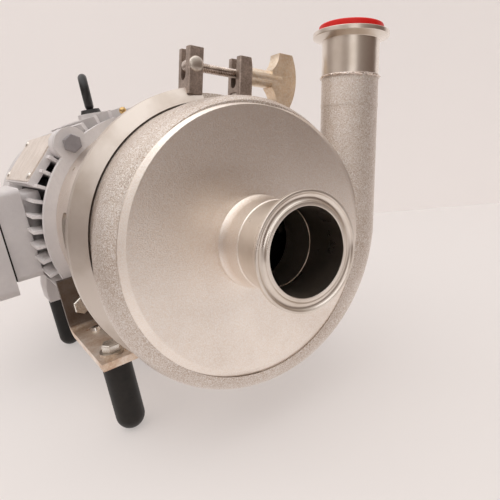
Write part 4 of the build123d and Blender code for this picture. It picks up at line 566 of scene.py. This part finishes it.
def ferrule_section(bore, tube, rim, groove, length):
    """Half section of a ferrule: face at zero, groove in the face, coned rim, tube."""
    half = sqrt(2.4**2 - 0.8**2)
    arc = [(groove - half * cos(t), 2.4 * sin(t) * 0.667) for t in (pi * i / 8 for i in range(9))]
    shoulder = 2.85 + (rim - tube) * 0.364
    return [(bore, 0.0)] + arc + [(rim, 0.0), (rim, 2.85), (tube, shoulder), (tube, length), (bore, length)]


def ferrule(name, origin, axis, sizes):
    """Spun ferrule with softly rounded edges that stands for the CAD one."""
    bm = spun(ferrule_section(*sizes), origin, axis)
    count = round_edges(bm, 0.35 * MM, 3, 28.0)
    piece = finish_mesh(bm, name + "_turned", body_of[name], turned_steel, 40.0, (name,))
    print(piece.name, "edges rounded:", count, "faces:", len(piece.data.polygons))
    return piece


discharge_foot = head_right * 87.5 * MM + Vector((0, 67.6 * MM, 0))
ferrule("suction_ferrule", Vector((0, 0, 0)), Vector((0, 1, 0)), (23.75, 25.4, 32.0, 28.2, 28.6))
ferrule("discharge_ferrule", discharge_foot + head_up * 132.0 * MM, -head_up, (17.4, 19.05, 25.25, 21.8, 28.6))

# %% [markdown]
# ## Weld beads
# The ferrule is welded to the pipe, and the hand-laid bead was never ground off: it is a low, lumpy ring.
# A small round section is spun about the pipe, and each point is then pushed out by a smooth noise.

# %% Lumpy weld bead
def frame_y(name):
    """Front of a CAD node along the shaft."""
    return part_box(name)[0][1]


def weld_bead(name, origin, axis, radius, height, lumps, body="base"):
    """Lumpy ring of weld metal round a pipe."""
    section = [(radius - 0.6, -height)] + [
        (radius + height * 0.8 * sin(pi * i / 6) ** 0.8 - 0.1, -height + 2 * height * i / 6) for i in range(1, 6)
    ] + [(radius - 0.6, height)]
    bm = spun(section, origin, axis, 220)
    for vert in bm.verts:
        out = vert.co - origin
        along = out.dot(axis)
        out = out - axis * along
        distance = out.length
        if distance > radius * MM:
            swell = noise.noise(vert.co * lumps) * 0.6 + noise.noise(vert.co * lumps * 2.3) * 0.4
            vert.co += out.normalized() * swell * height * MM + axis * noise.noise(vert.co * lumps * 0.6) * 0.3 * MM
    piece = finish_mesh(bm, name, body, weld_metal, 80.0)
    print(name, "faces:", len(piece.data.polygons))
    return piece


weld_metal, tree, shader = new_material("weld_metal", Metallic=1.0)
dress(tree, shader, blasted, 0.00003, 0.4, Colour=(0.88, 0.81, 0.75), Cloud_Colour=(0.60, 0.50, 0.43), Grain_Scale=900.0,
      Cloud_Scale=140.0, Roughness=0.12, Grain_Shade=0.1)
weld_bead("discharge_weld_bead", discharge_foot + head_up * 103.4 * MM, head_up, 19.05, 1.25, 360.0)
weld_bead("discharge_neck_seam", discharge_foot + head_up * 85.0 * MM, head_up, 19.05, 0.32, 260.0)
seam = spun([(23.95, -0.5), (23.55, -0.15), (23.55, 0.15), (23.95, 0.5)], Vector((0, 28.6 * MM, 0)), Vector((0, 1, 0)), 160)
seam_piece = finish_mesh(seam, "suction_inner_seam", "base", weld_metal, 80.0)
print(seam_piece.name, "faces:", len(seam_piece.data.polygons))
plate_y = frame_y("front_plate")
fillet = spun([(78.4, 0.05), (80.5, 1.7), (80.5, 2.6), (75.0, 2.6), (75.0, 0.05)], Vector((0, plate_y, 0)), Vector((0, 1, 0)), 220)
bmesh.ops.translate(fillet, verts=[v for v in fillet.verts if v.co.xz.length > 80 * MM], vec=across(-40) * 4.0 * MM)
fillet_piece = finish_mesh(fillet, "front_plate_weld_fillet", "base", blasted_steel, 30.0)
print(fillet_piece.name, "faces:", len(fillet_piece.data.polygons))

# %% [markdown]
# ## Swing bolt
# The clamp is drawn together by an eye bolt that swings on a pin. Its rod is threaded along its whole length.
# A screw thread is one tooth drawn along the axis for a single pitch and carried round the rod while it moves forward:
# the spin operator does exactly that when it is given a step along the axis.

# %% Threaded swing bolt
PITCH = 1.25
pivot = clamp_right * -18.5 * MM + clamp_up * 106.5 * MM + Vector((0, 106.5 * MM, 0))


def threaded_rod(origin, axis, length, crest, root, pitch):
    """Closed threaded rod, cut square at both ends."""
    bm = bmesh.new()
    start = axis.orthogonal().normalized()
    tooth = [(root, 0.0), (root, 0.12), (crest, 0.42), (crest, 0.58), (root, 0.88), (root, 1.0)]
    verts = [bm.verts.new(origin + (start * radius + axis * (part - 1.5) * pitch) * MM) for radius, part in tooth]
    edges = [bm.edges.new(pair) for pair in zip(verts, verts[1:])]
    turns = int(length / pitch) + 3
    around = 28
    bmesh.ops.spin(bm, geom=verts + edges, cent=origin, axis=axis, dvec=axis * pitch * MM / around,
                   angle=2 * pi * turns, steps=turns * around, use_merge=False)
    bmesh.ops.remove_doubles(bm, verts=bm.verts, dist=2e-6)
    for place, direction in ((0.0, -1), (length, 1)):
        cut = bmesh.ops.bisect_plane(bm, geom=bm.verts[:] + bm.edges[:] + bm.faces[:], plane_co=origin + axis * place * MM,
                                     plane_no=axis * direction, clear_outer=True, dist=1e-7)
        rim = [item for item in cut["geom_cut"] if isinstance(item, bmesh.types.BMEdge)]
        bmesh.ops.edgeloop_fill(bm, edges=rim)
    bmesh.ops.recalc_face_normals(bm, faces=bm.faces)
    return bm


pin_metal, tree, shader = new_material("pin_metal", Metallic=1.0)
dress(tree, shader, turned, 0.00003, 0.5, Colour=(0.74, 0.68, 0.61), Dark=(0.5, 0.44, 0.38), Roughness=0.26)
dome = [(0.0, -1.9 + 0.35)] + [(4.9 * sin(t), -1.55 * cos(t)) for t in (pi * i / 14 for i in range(1, 8))]
pin = spun(dome + [(3.0, 0.0), (3.0, 15.9), (0.0, 15.9)], pivot - Vector((0, 8.0 * MM, 0)), Vector((0, 1, 0)), 48)
pin_piece = finish_mesh(pin, "clamp_pivot_pin_domed", "base", pin_metal, 40.0, ("clamp_pivot_pin",))
print(pin_piece.name, "faces:", len(pin_piece.data.polygons))
rod = threaded_rod(pivot + clamp_right * 4.6 * MM, clamp_right, 65.9, 3.0, 2.3, PITCH)
eye = spun([(3.05, -3.1), (5.4, -3.1), (5.4, 3.1), (3.05, 3.1)], pivot, Vector((0, 1, 0)), 64)
round_edges(eye, 0.5 * MM, 3)
eye_mesh = bpy.data.meshes.new("eye")
eye.to_mesh(eye_mesh)
eye.free()
rod.from_mesh(eye_mesh)
bolt_metal, tree, shader = new_material("swing_bolt_metal", Metallic=1.0)
dress(tree, shader, blasted, 0.00004, 0.4, Colour=(0.68, 0.60, 0.54), Cloud_Colour=(0.44, 0.37, 0.32), Grain_Scale=900.0,
      Cloud_Scale=160.0, Roughness=0.14)
bolt = finish_mesh(rod, "swing_bolt_threaded", "swing_bolt", bolt_metal, 30.0, ("swing_bolt",))
print(bolt.name, "faces:", len(bolt.data.polygons))

# %% [markdown]
# The pump stands on a pale table in front of a pale wall. Both are part of the stage, not of the pump.
# They show their own pale colour to the camera and to reflections, and the table keeps the shadow.

# %% Stage
FLOOR = -126.5 * MM


def stage_plane(name, corners, colour, paper):
    """One flat quad of the stage: plain matt, and partly as bright as paper to the camera and in reflections."""
    bm = bmesh.new()
    bmesh.ops.create_grid(bm, x_segments=1, y_segments=1, size=0.5)
    for vert, corner in zip(sorted(bm.verts, key=lambda v: (v.co.y, v.co.x)), corners):
        vert.co = corner
    bm.normal_update()
    bm.faces.ensure_lookup_table()
    if bm.faces[0].normal.dot(camera_at - bm.faces[0].calc_center_median()) < 0:
        bmesh.ops.reverse_faces(bm, faces=bm.faces)
    mesh = bpy.data.meshes.new(name)
    bm.to_mesh(mesh)
    bm.free()
    piece = bpy.data.objects.new(name, mesh)
    bpy.context.scene.collection.objects.link(piece)
    material, tree, shader = new_material(name + "_matt", Base_Color=colour, Roughness=0.75)
    shader.inputs["Specular IOR Level"].default_value = 0.2
    shown = node(tree, "ShaderNodeEmission", Color=(*paper, 1.0), Strength=1.0)
    ray = node(tree, "ShaderNodeLightPath")
    seen = node(tree, "ShaderNodeMath", operation="MAXIMUM")
    mirrored = node(tree, "ShaderNodeMath", operation="MULTIPLY")
    mirrored.inputs[1].default_value = 2.0
    share = node(tree, "ShaderNodeMath", operation="MULTIPLY")
    share.inputs[1].default_value = 0.42
    blend = node(tree, "ShaderNodeMixShader")
    tree.links.new(ray.outputs["Is Camera Ray"], seen.inputs[0])
    tree.links.new(ray.outputs["Is Glossy Ray"], mirrored.inputs[0])
    tree.links.new(mirrored.outputs[0], seen.inputs[1])
    tree.links.new(seen.outputs[0], share.inputs[0])
    tree.links.new(share.outputs[0], blend.inputs["Fac"])
    tree.links.new(shader.outputs["BSDF"], blend.inputs[1])
    tree.links.new(shown.outputs["Emission"], blend.inputs[2])
    back = node(tree, "ShaderNodeNewGeometry")
    clear = node(tree, "ShaderNodeBsdfTransparent")
    open_back = node(tree, "ShaderNodeMixShader")
    tree.links.new(back.outputs["Backfacing"], open_back.inputs["Fac"])
    tree.links.new(blend.outputs["Shader"], open_back.inputs[1])
    tree.links.new(clear.outputs["BSDF"], open_back.inputs[2])
    tree.links.new(open_back.outputs["Shader"], tree.nodes["Material Output"].inputs["Surface"])
    mesh.materials.append(material)
    return piece


near = 3.0
TABLE = 1.8
wall_a = Vector((0.4445, 0.4105))
wall_b = Vector((0.5586, 0.2499))
along = (wall_b - wall_a).normalized()
wall_left = wall_a - along * near
wall_right = wall_b + along * 0.45
front = Vector((-along.y, along.x))
front = -front if front.dot(wall_a) > 0 else front
floor = stage_plane("floor", [
    (*(wall_left + front * TABLE), FLOOR), (*(wall_right + front * TABLE), FLOOR), (*wall_left, FLOOR), (*wall_right, FLOOR),
], (0.76, 0.715, 0.69), (0.97, 0.905, 0.875))
backdrop = stage_plane("backdrop", [
    (*wall_left, FLOOR), (*wall_right, FLOOR), (*wall_left, FLOOR + near), (*wall_right, FLOOR + near),
], (0.90, 0.85, 0.83), (1.0, 0.925, 0.89))
print("stage ready")

# %% [markdown]
# A wide lamp under the ceiling gives the even light of a bright room, and two weak ones lift the left side and the front.
# The world stands for the rest of the room. Bare metal shows what is round it, so the room is drawn as a ramp:
# warm and dim at eye level, where people and furniture would stand, and pale higher up.
# Where a view looks past the edge of the stage, the camera itself sees one plain pale colour instead of the ramp.

# %% Lights
def area_light(name, at, towards, size, power, colour=(1, 1, 1)):
    """Soft square light that faces a point."""
    data = bpy.data.lights.new(name, "AREA")
    data.shape = "SQUARE"
    data.size = size
    data.energy = power
    data.color = colour
    light = bpy.data.objects.new(name, data)
    light.location = at
    light.rotation_euler = (Vector(towards) - Vector(at)).to_track_quat("-Z", "Y").to_euler()
    bpy.context.scene.collection.objects.link(light)
    return light


area_light("ceiling", (-0.1, 0.3, 1.6), (-0.05, 0.3, 0), 3.0, 33)
area_light("left_bounce", (-1.5, 0.3, 0.9), (0, 0.1, 0), 1.4, 1.6, (1.0, 0.97, 0.94))
area_light("camera_side", (-0.6, -1.15, 0.45), (0.05, 0.05, 0), 0.7, 1.6)
world = bpy.data.worlds.new("soft_room")
world.use_nodes = True
bpy.context.scene.world = world
sky = world.node_tree
facing = node(sky, "ShaderNodeTexCoord")
parts = node(sky, "ShaderNodeSeparateXYZ")
room = ramp(sky, [(0.0, (0.14, 0.095, 0.075)), (0.14, (0.20, 0.145, 0.12)), (0.45, (0.66, 0.61, 0.575)), (0.75, (0.55, 0.53, 0.52))])
left_wall = ramp(sky, [(0.0, (0.7, 0.63, 0.59)), (0.45, (1, 1, 1))])
half = node(sky, "ShaderNodeMath", operation="MULTIPLY_ADD")
half.inputs[1].default_value = 0.5
half.inputs[2].default_value = 0.5
walls = node(sky, "ShaderNodeMix", data_type="RGBA", blend_type="MULTIPLY")
walls.inputs["Factor"].default_value = 1.0
sky.links.new(facing.outputs["Generated"], parts.inputs[0])
sky.links.new(parts.outputs["Z"], room.inputs["Fac"])
sky.links.new(parts.outputs["X"], half.inputs[0])
sky.links.new(half.outputs[0], left_wall.inputs["Fac"])
sky.links.new(room.outputs["Color"], walls.inputs["A"])
sky.links.new(left_wall.outputs["Color"], walls.inputs["B"])
ray = node(sky, "ShaderNodeLightPath")
seen_room = node(sky, "ShaderNodeMix", data_type="RGBA")
seen_room.inputs["B"].default_value = (0.80, 0.735, 0.705, 1.0)
sky.links.new(ray.outputs["Is Camera Ray"], seen_room.inputs["Factor"])
sky.links.new(walls.outputs["Result"], seen_room.inputs["A"])
sky.links.new(seen_room.outputs["Result"], sky.nodes["Background"].inputs["Color"])
sky.nodes["Background"].inputs["Strength"].default_value = 1.0
bpy.context.scene.view_settings.view_transform = "Standard"
print("lights ready")
